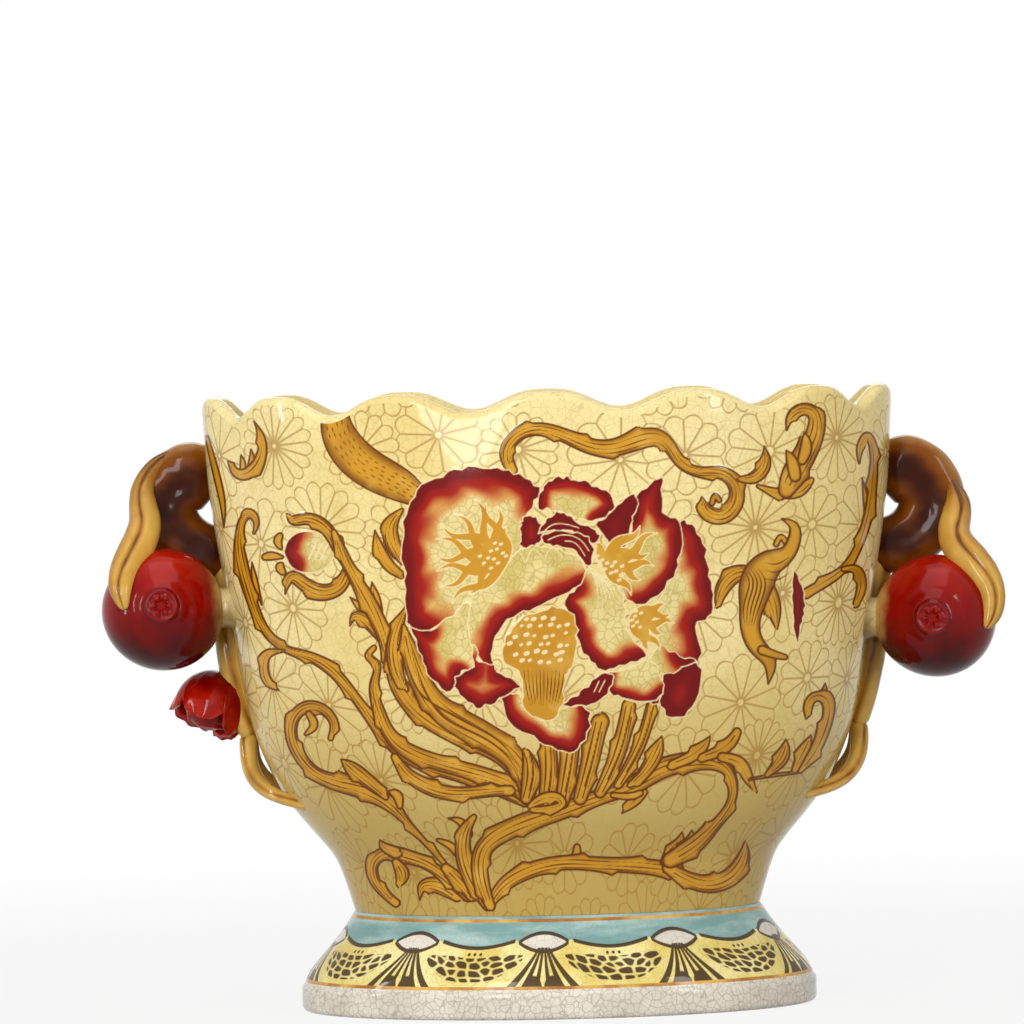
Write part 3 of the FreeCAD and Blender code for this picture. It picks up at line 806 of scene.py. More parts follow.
def paint_flower(art):
    """A large open peony: its petals from the back to the front."""
    art.petal(
        (676, 519), (688, 522), (700, 536), (708, 566), (712, 596), (708, 618), (699, 623), (700, 650),
        (698, 667), (680, 670), (659, 644), (656, 607), (669, 580), (678, 556), red=((0, 8),), reach=33,
        roughness=2.4, seed=1,
    )
    art.petal(
        (659, 644), (683, 657), (698, 665), (695, 704), (675, 718), (659, 706), (646, 703), (626, 698),
        (607, 691), (612, 674), (646, 660), red=((1, 8),), reach=30, roughness=2.4, seed=2,
    )
    art.petal(
        (664, 675), (683, 668), (698, 664), (695, 704), (675, 718), (661, 706), red=((0, 6),), reach=60,
        roughness=2.0, seed=3,
    )
    art.petal(
        (540, 495), (538, 487), (520, 475), (501, 470), (471, 468), (444, 475), (417, 491), (406, 516),
        (402, 549), (406, 583), (408, 623), (427, 632), (454, 613), (471, 596), (518, 553), (525, 522),
        red=((0, 11),), reach=40, roughness=2.4, seed=4,
    )
    art.petal(
        (408, 623), (427, 632), (454, 613), (471, 603), (471, 644), (478, 657), (471, 670), (459, 674),
        (451, 691), (430, 676), (419, 650), red=((7, 12),), reach=22, roughness=2.0, seed=5,
    )
    art.petal(
        (538, 509), (542, 487), (552, 480), (567, 477), (585, 482), (605, 491), (615, 506), (599, 519),
        (579, 519), (558, 511), red=((0, 7),), reach=21, roughness=2.2, seed=6,
    )
    art.petal(
        (592, 556), (622, 549), (632, 519), (637, 495), (648, 484), (661, 477), (662, 512), (677, 518),
        (679, 556), (670, 580), (641, 606), (626, 596), (609, 573), red=((2, 10),), reach=26,
        roughness=2.2, seed=7,
    )
    art.petal(
        (592, 524), (605, 517), (622, 502), (635, 495), (637, 509), (631, 522), (622, 551), (611, 544),
        (605, 536), red=((0, 9),), reach=60, seed=8,
    )
    art.petal(
        (605, 673), (626, 668), (648, 661), (659, 672), (663, 692), (646, 703), (622, 698), (609, 691),
        red=((4, 8),), reach=18, seed=9,
    )
    art.petal(
        (501, 691), (525, 699), (542, 719), (558, 709), (587, 709), (586, 738), (570, 752), (542, 742),
        (518, 728), (504, 712), red=((4, 10),), reach=22, roughness=2.2, seed=10,
    )
    art.petal(
        (560, 705), (574, 697), (589, 684), (596, 677), (613, 674), (609, 691), (589, 705), red=((0, 7),),
        reach=40, seed=11,
    )
    art.petal(
        (521, 522), (525, 517), (538, 519), (542, 536), (538, 544), (523, 549), (520, 536), red=((0, 7),),
        reach=40, seed=12,
    )
    art.petal(
        (471, 596), (491, 569), (518, 551), (538, 546), (562, 551), (584, 563), (585, 585), (572, 590),
        (538, 607), (515, 615), (496, 637), (493, 660), (501, 674), (479, 657), (469, 630),
        red=((6, 12),), reach=26, roughness=1.6, seed=13,
    )
    art.petal(
        (471, 644), (479, 650), (478, 660), (491, 664), (501, 674), (521, 685), (501, 698), (478, 707),
        (456, 691), (459, 674), (471, 670), red=((4, 10),), reach=28, roughness=2.2, seed=14,
    )
    art.petal(
        (589, 568), (574, 590), (565, 600), (575, 623), (579, 644), (592, 661), (605, 670), (626, 664),
        (647, 657), (642, 647), (627, 630), (625, 603), (612, 583), red=((1, 8),), reach=24,
        roughness=1.8, seed=15,
    )
    art.petal(
        (538, 534), (545, 522), (558, 512), (574, 519), (589, 527), (600, 536), (592, 543), (579, 534),
        (558, 531), red=((0, 9),), reach=40, seed=16,
    )
    art.petal(
        (540, 537), (558, 531), (579, 534), (592, 543), (589, 565), (579, 556), (565, 547), (548, 545),
        red=((0, 8),), reach=40, seed=17,
    )
    for bow in (
        ((542, 534), (552, 525), (565, 524), (579, 528)),
        ((548, 540), (562, 535), (579, 539), (589, 551)),
        ((565, 541), (575, 543), (585, 556)),
        ((510, 562), (518, 551), (525, 563)),
        ((526, 563), (533, 549), (543, 559)),
        ((545, 558), (552, 548), (563, 558)),
        ((594, 692), (599, 681)),
        ((599, 692), (605, 680)),
    ):
        art.thread(*[(x, y, 0.6) for x, y in bow])
    start, end = (589, 569), (605, 613)
    for strand in range(6):
        art.thread(
            (*start, 0.4), (start[0] + 8 + 3 * strand, start[1] + 18, 0.6),
            (end[0] - 8 + 5 * strand, end[1] - strand, 0.3),
        )


def paint_stamens(art):
    """Flame-like stamens in the open petals and the seed head in the middle."""
    art.tongues(
        (503, 560), ((474, 499), (486, 503), (497, 506), (506, 526), (454, 514), (441, 524), (437, 539),
        (435, 556), (437, 571), (441, 586), (452, 603), (468, 594)), 6,
    )
    art.dots(
        ((491, 551), (497, 549), (503, 553), (488, 558), (494, 559), (498, 563), (484, 563), (491, 568),
        (506, 556), (480, 556), (495, 543), (501, 544)), 1.5,
    )
    art.tongues(
        (608, 560), ((596, 543), (622, 545), (640, 526), (657, 533), (649, 553), (654, 566), (641, 580),
        (631, 595), (622, 585)), 7,
    )
    art.dots(
        ((597, 556), (602, 560), (607, 563), (600, 565), (612, 566), (616, 571), (611, 573), (605, 569),
        (621, 575), (615, 562), (622, 566), (619, 580)), 1.6,
    )
    art.tongues(
        (635, 619), ((657, 603), (666, 604), (671, 613), (674, 623), (663, 634), (660, 650), (650, 651),
        (641, 644), (631, 630)), 6,
    )
    art.dots(
        ((630, 613), (635, 616), (632, 620), (637, 622), (641, 613), (633, 626), (640, 627), (636, 611)),
        1.5,
    )
    art.blob(
        (503, 648), (509, 633), (520, 620), (538, 611), (558, 607), (574, 617), (576, 644), (572, 667),
        (566, 676), (562, 704), (548, 720), (531, 714), (523, 698), (521, 675), (505, 664), roughness=1.8,
        seed=18,
    )
    draw = np.random.default_rng(21)
    for row in range(6):
        for column in range(7):
            x = 507 + 9.5 * column + 4.5 * (row % 2) + draw.uniform(-2.2, 2.2)
            y = 617 + 9 * row + draw.uniform(-2.2, 2.2)
            if np.hypot((x - 540) / 33, (y - 640) / 30) < 1:
                art.dots(((x, y),), draw.uniform(1.4, 2.2))
    for x in range(524, 566, 4):
        lean = (x - 543) * 0.12
        art.line((x, 670, 0.3), (x - lean, 688, 0.7), (x - 3 * lean, 706, 0.2))


def paint_front(art):
    paint_left(art)
    paint_sweeping_leaves(art)
    paint_base(art)
    paint_calyx(art)
    paint_vine(art)
    paint_flower(art)
    paint_stamens(art)


# Bowl piece
LIP_STEPS = 14
INSIDE_STEPS = 60
FLOOR_STEPS = 10
CENTRE_SHARE = 0.004
WALL_SLANT = 1.12
NET_HEIGHT = 150
ROSETTE_SPACING = 34
ROSETTE_JITTER = 0.22
ROSETTE_RADII = (15, 21)
ROSETTE_RAYS = (11, 18)
ROSETTE_HEARTS = (1.2, 2.6)
SCALLOP_SHARE = 0.14
RAISED_ENAMEL = 0.22
SHARE_LAYERS = ("red", "shade")


def rosette_net(run, height):
    """Distance in millimetres to the lines of a ground of overlapping scalloped rosettes with rays."""
    draw = np.random.default_rng(5)
    around = run.max()
    columns = int(around / ROSETTE_SPACING)
    rows = int((RIM_HEIGHT - WAIST_HEIGHT) / ROSETTE_SPACING) + 2
    places = [(row, column) for row in range(rows) for column in range(columns)]
    net = np.full(run.shape, FAR, np.float32)
    for row, column in draw.permutation(places):
        shift = draw.uniform(-ROSETTE_JITTER, ROSETTE_JITTER, 2)
        x = (column + 0.5 * (row % 2) + shift[0]) * around / columns
        y = WAIST_HEIGHT + (row - 0.25 + shift[1]) * ROSETTE_SPACING
        reach = draw.uniform(*ROSETTE_RADII)
        heart = draw.uniform(*ROSETTE_HEARTS)
        rays = draw.integers(*ROSETTE_RAYS)
        start = draw.uniform(0, 2 * math.pi)
        beside = (run - x + around / 2) % around - around / 2
        at = np.nonzero((np.abs(beside) < reach + 1) & (np.abs(height - y) < reach + 1))
        gap = np.hypot(beside[at], height[at] - y)
        turn = np.arctan2(height[at] - y, beside[at]) + start
        bow = np.abs(np.sin(rays * turn / 2))
        edge = reach * (1 - SCALLOP_SHARE + SCALLOP_SHARE * bow) - gap
        lines = np.where(gap > heart, gap * bow * 2 / rays, FAR)
        lines = np.minimum(np.minimum(lines, np.abs(gap - heart)), np.abs(edge))
        net[at] = np.where(edge > 0, lines, np.minimum(net[at], -edge))
    return net


def bowl_grid(angles):
    """Rows from under the bowl over its rim to the floor inside, and which of them are painted."""
    edge = rim_edge(angles)
    lip = BOWL_WALL / 2
    spigot = WAIST_HALF_WIDTH - FOOT_WALL - SPIGOT_PLAY
    low = WAIST_HEIGHT - SPIGOT_DEPTH
    under = (
        (CENTRE_SHARE * spigot, WAIST_HEIGHT),
        (spigot - SPIGOT_WALL, WAIST_HEIGHT),
        (spigot - SPIGOT_WALL, low),
        (spigot, low),
        (spigot, WAIST_HEIGHT),
    )
    rows = []
    for half, height in under:
        inset = WAIST_HALF_WIDTH - half
        depth = max(WAIST_HALF_WIDTH * DEPTH_SHARE - inset, half * DEPTH_SHARE * 0.5)
        rows.append(round_places(angles, half, depth, height))
    painted_from = len(rows)
    count = int((RIM_HEIGHT - WAIST_HEIGHT) * WALL_SLANT / FRONT_SPACING)
    for step in range(count):
        height = WAIST_HEIGHT + (edge - lip - WAIST_HEIGHT) * step / (count - 1)
        rows.append(bowl_place(angles, height, 0))
    painted = slice(painted_from, len(rows))
    for step in range(1, LIP_STEPS):
        turn = math.pi * step / LIP_STEPS
        place = bowl_place(angles, edge - lip, lip * (1 - math.cos(turn)))
        place[:, 2] += lip * math.sin(turn)
        rows.append(place)
    floor = WAIST_HEIGHT + FLOOR_THICKNESS
    for step in range(INSIDE_STEPS):
        share = step / (INSIDE_STEPS - 1)
        height = edge - lip + (floor - edge + lip) * share
        rows.append(bowl_place(angles, height, BOWL_WALL))
    rim_of_floor = rows[-1]
    for step in range(1, FLOOR_STEPS + 1):
        place = rim_of_floor * (1 - (1 - CENTRE_SHARE) * step / FLOOR_STEPS)
        place[:, 2] = floor
        rows.append(place)
    return np.array(rows), painted


def bowl_painting(angles, walls):
    """The layers of the drawing and the net, on the outside of the bowl."""
    across, down = to_sheet(walls)
    painting = Painting(across.ravel(), down.ravel())
    paint_front(painting)
    ring = bowl_place(np.append(angles, angles[0]), NET_HEIGHT, 0)
    steps = np.linalg.norm(np.diff(ring, axis=0), axis=1)
    run = np.concatenate([[0.0], np.cumsum(steps)[:-1]])
    net = rosette_net(np.broadcast_to(run, walls.shape[:2]), walls[..., 2])
    return {**painting.layers, "net": net}


def build_bowl(material):
    angles = bowl_angles()
    grid, painted = bowl_grid(angles)
    layers = {}
    for name, values in bowl_painting(angles, grid[painted]).items():
        layers[name] = whole_layer(values, grid, painted, 0.0 if name in SHARE_LAYERS else FAR)
    lift = np.maximum(smoothstep(1.0, -1.0, layers["ink"]) * 0.5, smoothstep(0.7, -0.5, layers["white"]))
    lift = np.maximum(lift, 0.6 * smoothstep(0.5, -1.5, np.minimum(layers["gold"], layers["petal"])))
    grid = grid + grid_normals(grid) * (RAISED_ENAMEL * lift)[..., None]
    piece = grid_piece("bowl_shell", grid, material, layers)
    dress(piece, "bowl")


# Colours of the bowl
GROUND_DARK = srgb(230, 206, 134)
GROUND_PALE = srgb(241, 222, 158)
# Ground low on the bowl: painted shade, together with deeper glaze pooled there.
GROUND_LOW_POOL_AND_SHADE = srgb(180, 148, 68)
GROUND_STAIN = srgb(204, 176, 98)
NET_BROWN = srgb(164, 116, 42)
WIDE_CRACK_BROWN = srgb(176, 142, 76)
FINE_CRACK_BROWN = srgb(188, 160, 92)
CREAM_DARK = srgb(206, 186, 108)
CREAM_PALE = srgb(226, 208, 140)
CREAM_CRACK = srgb(176, 142, 72)
PETAL_BLUSH = srgb(206, 124, 58)
PETAL_RED = srgb(160, 26, 8)
PETAL_CRIMSON = srgb(112, 0, 0)
GOLD_PALE = srgb(206, 148, 42)
GOLD_DARK = srgb(134, 80, 18)
GOLD_SHEEN = srgb(218, 172, 74)
GOLD_STAIN = srgb(160, 104, 30)
INK_BROWN = srgb(98, 50, 12)
RAISED_CREAM = srgb(238, 216, 164)


def bowl_glaze():
    """Yellow crackle glaze under a net, gold leaves, a red and cream flower and raised lines."""
    paint = Paint("crackle_yellow_glaze", roughness=0.14, coat=0.3)
    patches = paint.ramp(paint.noise(14), 0.35, 0.65)
    paint.colour = paint.blend(GROUND_DARK, GROUND_PALE, patches)
    # Darker and yellower towards the bottom of the bowl: painted shade, with deeper pooled glaze.
    paint.over(GROUND_LOW_POOL_AND_SHADE, paint.ramp(paint.height(), 0.18, 0.05, 0, 0.85))
    paint.over(GROUND_STAIN, paint.ramp(paint.noise(45), 0.55, 0.8, 0, 0.3))
    fine = paint.cracks(300)
    wide = paint.cracks(110)
    paint.over(NET_BROWN, paint.ramp(paint.layer("net"), 0.65, 0.1, 0, 0.75))
    paint.over(WIDE_CRACK_BROWN, paint.ramp(wide, 0.03, 0.0, 0, 0.25))
    paint.over(FINE_CRACK_BROWN, paint.ramp(fine, 0.07, 0.0, 0, 0.3))
    cream = paint.blend(CREAM_DARK, CREAM_PALE, paint.ramp(paint.noise(60), 0.4, 0.6))
    cream = paint.blend(cream, CREAM_CRACK, paint.ramp(fine, 0.09, 0.0, 0, 0.55))
    red = paint.plus(paint.layer("red"), paint.ramp(paint.noise(120), 0.3, 0.7, -0.03, 0.03))
    cream = paint.blend(cream, PETAL_BLUSH, paint.ramp(red, 0.08, 0.40, 0, 0.85))
    cream = paint.blend(cream, PETAL_RED, paint.ramp(red, 0.28, 0.60))
    cream = paint.blend(cream, PETAL_CRIMSON, paint.ramp(red, 0.55, 0.90))
    paint.over(cream, paint.ramp(paint.layer("petal"), 0.35, -0.35))
    gold = paint.blend(GOLD_PALE, GOLD_DARK, paint.ramp(paint.layer("shade"), 0.4, 0.95))
    gold = paint.blend(gold, GOLD_SHEEN, paint.ramp(paint.noise(90), 0.5, 0.75, 0, 0.6))
    gold = paint.blend(gold, GOLD_STAIN, paint.ramp(paint.noise(40), 0.52, 0.72, 0, 0.5))
    paint.over(gold, paint.ramp(paint.layer("gold"), 0.35, -0.35))
    paint.over(INK_BROWN, paint.ramp(paint.layer("ink"), 0.4, -0.4, 0, 0.93))
    paint.over(RAISED_CREAM, paint.ramp(paint.layer("white"), 0.4, -0.4, 0, 0.9))
    paint.emboss(paint.ramp(fine, 0.05, 0.0))
    return paint.finish()


# Foot piece
FOOT_ROWS_PER_MM = 2
FOOT_COLUMNS = 1100
FLARE_SLANT = 1.3
ROUND_STEPS = 7
PLINTH_STEPS = 16
INSIDE_SKIP = 4
TASSELS = 9
TASSEL_START = math.radians(-94)
TASSEL_STRANDS = (-2.6, -1.5, -0.5, 0.5, 1.5, 2.6)
TASSEL_DROP = 2.0
TUFT_OFFSET = 3.8
TUFT_HALF_WIDTH = 3.4
TUFT_HEIGHT = 5.0
OVAL_HEIGHT = 31.5
OVAL_HALF_LENGTH = 11.5
OVAL_HALF_HEIGHT = 3.7
BORDER_SAG = 3.2
BORDER_RISE = 1.0
BORDER_START = 1.5
BORDER_HALF_WIDTH = 0.75
SWAG_TOP = 26
SWAG_SAG = 5.5
SWAG_TURN = 8
SWAG_START = 9
SWAG_SWELL = 12
SWAG_HALF_HEIGHT = 4.8
LEAF_LENGTH = 5.2
LEAF_HEIGHT = 2.9
LEAF_SLANT = 0.5
LEAF_GAP = 0.11
LEAF_JITTER = 0.7
DOT_SPACING = 2.6
DOT_HEIGHT = 26.8
DOT_RADIUS = 0.7
UPPER_LINE_HEIGHT = 40.2
LOWER_LINE_HEIGHT = 13.2
GILT_HALF_WIDTH = 0.75
GILT_FADE = 0.2


def foot_outline():
    """Half widths and heights from the rounded bottom edge of the plinth up the flare to the waist."""
    turns = np.linspace(-math.pi / 2, 0, ROUND_STEPS)
    shoulder = np.linspace(0, math.pi / 2, ROUND_STEPS)
    edge = PLINTH_HALF_WIDTH - PLINTH_ROUND
    corner = [(edge + PLINTH_ROUND * math.cos(t), PLINTH_ROUND * (1 + math.sin(t))) for t in turns]
    top = PLINTH_HEIGHT - PLINTH_ROUND
    sides = [(PLINTH_HALF_WIDTH, z) for z in np.linspace(PLINTH_ROUND, top, PLINTH_STEPS)[1:-1]]
    upper = [(edge + PLINTH_ROUND * math.cos(t), top + PLINTH_ROUND * math.sin(t)) for t in shoulder]
    start = PLINTH_HALF_WIDTH - PLINTH_LEDGE
    rise = WAIST_HEIGHT - PLINTH_HEIGHT
    flare = smooth_curve(
        [
            (start - share_in * (start - WAIST_HALF_WIDTH), PLINTH_HEIGHT + up * rise)
            for up, share_in in FOOT_PROFILE_SHARES
        ],
        int(rise * FOOT_ROWS_PER_MM * FLARE_SLANT),
        axes=2,
    )
    keep = [place for place in upper if place[0] > start]
    return corner + sides + keep + [tuple(place) for place in flare[1:]]


def leaf_cells(across, up):
    """How far inside its own cell each place lies, on a grid of uneven cells about one unit wide."""
    nearest = np.full(across.shape, FAR)
    second = nearest.copy()
    for column in (-1, 0, 1):
        for row in (-1, 0, 1):
            x, y = np.floor(across) + column, np.floor(up) + row
            mixed = 43.7585 * np.sin(12.9898 * x + 78.233 * y)  # any large uneven numbers would do
            x = x + 0.5 + LEAF_JITTER * (mixed % 1 - 0.5)
            y = y + 0.5 + LEAF_JITTER * (7.3 * mixed % 1 - 0.5)
            gap = np.hypot(across - x, up - y)
            second = np.minimum(second, np.maximum(nearest, gap))
            nearest = np.minimum(nearest, gap)
    return (second - nearest) / 2


def tassels(offset, height):
    """Distances to the strands that fan out below each oval and to the tufts at their ends."""
    drop = OVAL_HEIGHT - TASSEL_DROP - height
    up = height - LOWER_LINE_HEIGHT
    fan = np.full(offset.shape, FAR)
    for strand in TASSEL_STRANDS:
        bow = strand * (0.8 + 0.20 * drop + 0.004 * drop**2)
        thick = 0.35 + 0.07 * drop * (0.4 + abs(strand) / 3)
        fan = np.minimum(fan, np.where((drop > 0) & (up > 0), np.abs(offset - bow) - thick, FAR))
    for shift in (-TUFT_OFFSET, TUFT_OFFSET):
        tuft = np.hypot((offset - shift) / TUFT_HALF_WIDTH, up / TUFT_HEIGHT) - 1
        fan = np.minimum(fan, np.where(up > 0, tuft * 3, FAR))
    return fan


def garlands(run, offset, pitch, height):
    """Distances to the leaves that hang between the tassels and to the dots over them."""
    side = np.abs(offset)
    above = height - SWAG_TOP + SWAG_SAG * (1 - ((pitch / 2 - side) / (pitch / 2 - SWAG_TURN)) ** 2)
    swell = np.sqrt(np.clip((side - SWAG_START) / SWAG_SWELL, 0.05, 1))
    body = np.where(side > SWAG_START, np.abs(above) - SWAG_HALF_HEIGHT * swell, FAR)
    cells = leaf_cells((run + LEAF_SLANT * above) / LEAF_LENGTH, above / LEAF_HEIGHT)
    leaves = np.maximum(body, (LEAF_GAP - cells) * LEAF_HEIGHT)
    to_middle = (offset + pitch) % pitch - pitch / 2
    for shift in (-DOT_SPACING, 0, DOT_SPACING):
        leaves = np.minimum(leaves, np.hypot(to_middle - shift, height - DOT_HEIGHT) - DOT_RADIUS)
    return leaves


def foot_painting(run, length, height):
    """Distances in millimetres for the painted border of the foot, from the way round and the height."""
    pitch = length / TASSELS
    offset = (run - length * (TASSEL_START + math.pi) / (2 * math.pi) + pitch / 2) % pitch - pitch / 2
    side = np.abs(offset)
    share = np.clip((side - OVAL_HALF_LENGTH) / (pitch / 2 - OVAL_HALF_LENGTH), 0, 1)
    border = OVAL_HEIGHT - BORDER_SAG * np.sin(share * math.pi / 2) + BORDER_RISE
    lens = OVAL_HALF_HEIGHT * (1 - np.minimum(side / OVAL_HALF_LENGTH, 1) ** 2)
    oval = np.where(side < OVAL_HALF_LENGTH, np.abs(height - OVAL_HEIGHT) - lens, FAR)
    blue = np.where(side < OVAL_HALF_LENGTH, OVAL_HEIGHT - height, border - height)
    outline = np.where(side < OVAL_HALF_LENGTH + BORDER_START, np.abs(oval), np.abs(blue))
    ink = np.minimum(tassels(offset, height), garlands(run, offset, pitch, height))
    return {"blue": blue, "oval": oval, "ink": np.minimum(outline - BORDER_HALF_WIDTH, ink)}


def build_foot(material):
    angles = np.linspace(-math.pi, math.pi, FOOT_COLUMNS, endpoint=False)
    outer = foot_outline()
    path = [(half, height, 0.0) for half, height in outer]
    inside = [(half, height, FOOT_WALL) for half, height in outer if height > PLINTH_HEIGHT]
    path += inside[::-INSIDE_SKIP]
    path += [(PLINTH_HALF_WIDTH, PLINTH_HEIGHT * share, FOOT_RING_WIDTH) for share in (0.5, 0.0)]
    rows = []
    for half, height, inset in path:
        rows.append(round_places(angles, half - inset, half * DEPTH_SHARE - inset, height))
    grid = np.array(rows)
    rows_painted = slice(len(outer))
    painted = grid[rows_painted]
    steps = np.linalg.norm(np.diff(np.concatenate([painted[:, -1:], painted], axis=1), axis=1), axis=2)
    run = np.cumsum(steps, axis=1)
    length = run[:, -1:]
    middle = length[len(outer) // 2, 0]
    fields = foot_painting(run / length * middle, middle, painted[..., 2])
    layers = {}
    for name, values in fields.items():
        layers[f"foot_{name}"] = whole_layer(values, grid, rows_painted)
    piece = grid_piece("pedestal_foot", grid, material, layers, ends=False)
    dress(piece, "foot")


# Colours of the foot
BORDER_YELLOW_DARK = srgb(226, 204, 112)
BORDER_YELLOW_PALE = srgb(243, 229, 160)
BORDER_BLUE_DARK = srgb(118, 160, 158)
BORDER_BLUE_PALE = srgb(170, 198, 194)
PLINTH_WHITE_DARK = srgb(214, 208, 194)
PLINTH_WHITE_PALE = srgb(228, 222, 208)
FOOT_CRACK_BROWN = srgb(150, 122, 80)
PLINTH_CRACK_BROWN = srgb(150, 128, 100)
BORDER_INK = srgb(66, 42, 24)
GILT_DARK = srgb(168, 108, 40)
GILT_PALE = srgb(226, 176, 92)


def foot_glaze():
    """Yellow ground with a blue upper band, white ovals and plinth, brown drawing and gilt lines."""
    paint = Paint("painted_cream_glaze", roughness=0.16, coat=0.25)
    up = paint.height()
    fine = paint.cracks(330)
    wide = paint.cracks(290)
    yellow = paint.blend(BORDER_YELLOW_DARK, BORDER_YELLOW_PALE, paint.ramp(paint.noise(60), 0.35, 0.65))
    clouds = paint.ramp(paint.noise(40, scale=(1, 1, 4)), 0.35, 0.65)
    blue = paint.blend(BORDER_BLUE_DARK, BORDER_BLUE_PALE, clouds)
    white = paint.blend(PLINTH_WHITE_DARK, PLINTH_WHITE_PALE, paint.ramp(paint.noise(50), 0.35, 0.65))
    paint.colour = yellow
    paint.over(blue, paint.ramp(paint.layer("foot_blue"), 0.2, -0.2))
    paint.over(white, paint.ramp(paint.layer("foot_oval"), 0.2, -0.2))
    lower = LOWER_LINE_HEIGHT * MM
    plinth = paint.ramp(up, lower, lower - 0.0004)
    paint.over(white, plinth)
    paint.over(FOOT_CRACK_BROWN, paint.ramp(fine, 0.05, 0.0, 0, 0.35))
    paint.over(PLINTH_CRACK_BROWN, paint.times(plinth, paint.ramp(wide, 0.08, 0.0, 0, 0.5)))
    paint.over(BORDER_INK, paint.ramp(paint.layer("foot_ink"), 0.18, -0.18, 0, 0.95))
    gilt = paint.blend(GILT_DARK, GILT_PALE, paint.ramp(paint.noise(70), 0.35, 0.65))
    for line in (LOWER_LINE_HEIGHT, UPPER_LINE_HEIGHT):
        band = paint.times(
            paint.ramp(up, (line - GILT_HALF_WIDTH) * MM, (line - GILT_HALF_WIDTH + GILT_FADE) * MM),
            paint.ramp(up, (line + GILT_HALF_WIDTH) * MM, (line + GILT_HALF_WIDTH - GILT_FADE) * MM),
        )
        paint.over(gilt, band)
    paint.emboss(paint.ramp(fine, 0.05, 0.0))
    return paint.finish()


# Handles
TUBE_ALONG = 220
TUBE_AROUND = 72
TUBE_UNEVEN = 0.03
TUBE_BUMP_LENGTH = 26
TWIG_ALONG = 160
TWIG_AROUND = 56
POLE_GAP = 0.002
FRUIT_ROWS = 120
FRUIT_COLUMNS = 160
BRANCH_STEPS = 8
BRANCH_RADII = (15.4, 14.2, 12.0)
BRANCH_BURY = 5
HOLLOW_DEPTH = 0.32
RIDGE_SIDE = 1.0


def wall_reach(along, height):
    """How far the outside of the bowl reaches to the side at this place."""
    half = half_width_at(height)
    return half * np.sqrt(1 - (along / (half * DEPTH_SHARE)) ** 2)


def fruit_middle(side):
    height = FRUIT_HEIGHT[side]
    out = wall_reach(FRUIT_FORWARD, height) + FRUIT_GAP + FRUIT_RADIUS
    return np.array([SIDES[side] * out, -FRUIT_FORWARD, height])


def wall_point(side, along, height, lift):
    return (SIDES[side] * (wall_reach(along, height) + lift), along, height)


def hill(value, middle, width):
    """A smooth hill, 1 at the middle."""
    return np.exp(-(((value - middle) / width) ** 2))


def tube(knots, side, shape, along=TUBE_ALONG, around=TUBE_AROUND, rounded=True):
    """Rings along a smooth route of (x, y, z, radius) knots, with rounded or flat ends.

    shape adds shares of the radius by the way along and the way round, which is 0 at the front
    and positive on the side away from the bowl. Both are returned with the rings.
    """
    line = smooth_curve(knots, along)
    path, radius = line[:, :3], line[:, 3]
    gone = np.concatenate([[0.0], np.cumsum(np.linalg.norm(np.diff(path, axis=0), axis=1))])
    to_end = np.minimum(gone, gone[-1] - gone)
    round_off = np.ones(along)
    if rounded:
        share_in = np.minimum(to_end / np.maximum(radius, 0.5), 1)
        round_off = np.sqrt(np.clip(1 - (1 - share_in) ** 2, 0.0004, 1))
    ahead = np.gradient(path, axis=0)
    ahead /= np.linalg.norm(ahead, axis=1, keepdims=True)
    front = np.array([0.0, -1.0, 0.0]) - ahead * -ahead[:, 1:2]
    front /= np.linalg.norm(front, axis=1, keepdims=True)
    beside = np.cross(ahead, front) * -SIDES[side]
    turn = np.linspace(-math.pi, math.pi, around, endpoint=False)[None]
    way = front[:, None] * np.cos(turn)[..., None] + beside[:, None] * np.sin(turn)[..., None]
    share = (gone / gone[-1])[:, None]
    places = path[:, None] + way * radius[:, None, None]
    uneven = TUBE_UNEVEN * bumps(places, TUBE_BUMP_LENGTH, along + len(knots))
    grown = 1 + shape(share, turn) + uneven
    return path[:, None] + way * (radius * round_off)[:, None, None] * grown[..., None], share, turn


def branch_knots(side):
    middle = BRANCH_HEIGHT[side]
    knots = []
    for step in range(BRANCH_STEPS + 1):
        turn = math.pi * step / BRANCH_STEPS
        height = middle + BRANCH_HALF_SPAN * math.cos(turn)
        out = wall_reach(BRANCH_SETBACK, height) + BRANCH_REACH * math.sin(turn)
        radius = np.interp(step, (0, BRANCH_STEPS / 2, BRANCH_STEPS), BRANCH_RADII)
        knots.append((SIDES[side] * out, BRANCH_SETBACK, height, radius))
    first, last = knots[0], knots[-1]
    inward = -SIDES[side] * BRANCH_BURY
    return [(first[0] + inward, *first[1:])] + knots + [(last[0] + inward, *last[1:])]


def build_branch(side, material):
    """A thick limb that bends out and back, scooped on its front face below a tan ridge."""

    def scooped(share, turn):
        scoop = -HOLLOW_DEPTH * hill(turn, -0.1, 0.62) * np.sin(math.pi * share) ** 0.5
        return scoop + 0.08 * hill(turn, RIDGE_SIDE, 0.32)

    grid, share, turn = tube(branch_knots(side), side, scooped)
    # The ridge on the outer side is lighter: tan glaze with a painted highlight, fading along the branch.
    ridge = hill(turn, RIDGE_SIDE + 0.25, 0.5) * (1 - 0.75 * share)
    # The front hollow is painted darker: painted shade in the scoop.
    tone = 0.36 + 0.75 * ridge - 0.28 * hill(turn, -0.1, 0.6)
    tone = np.clip(tone + 0.10 * bumps(grid, 18, 8), 0, 1)
    piece = grid_piece(f"{side}_bark_branch", grid, material, {"tone": tone})
    dress(piece, f"{side}_branch")


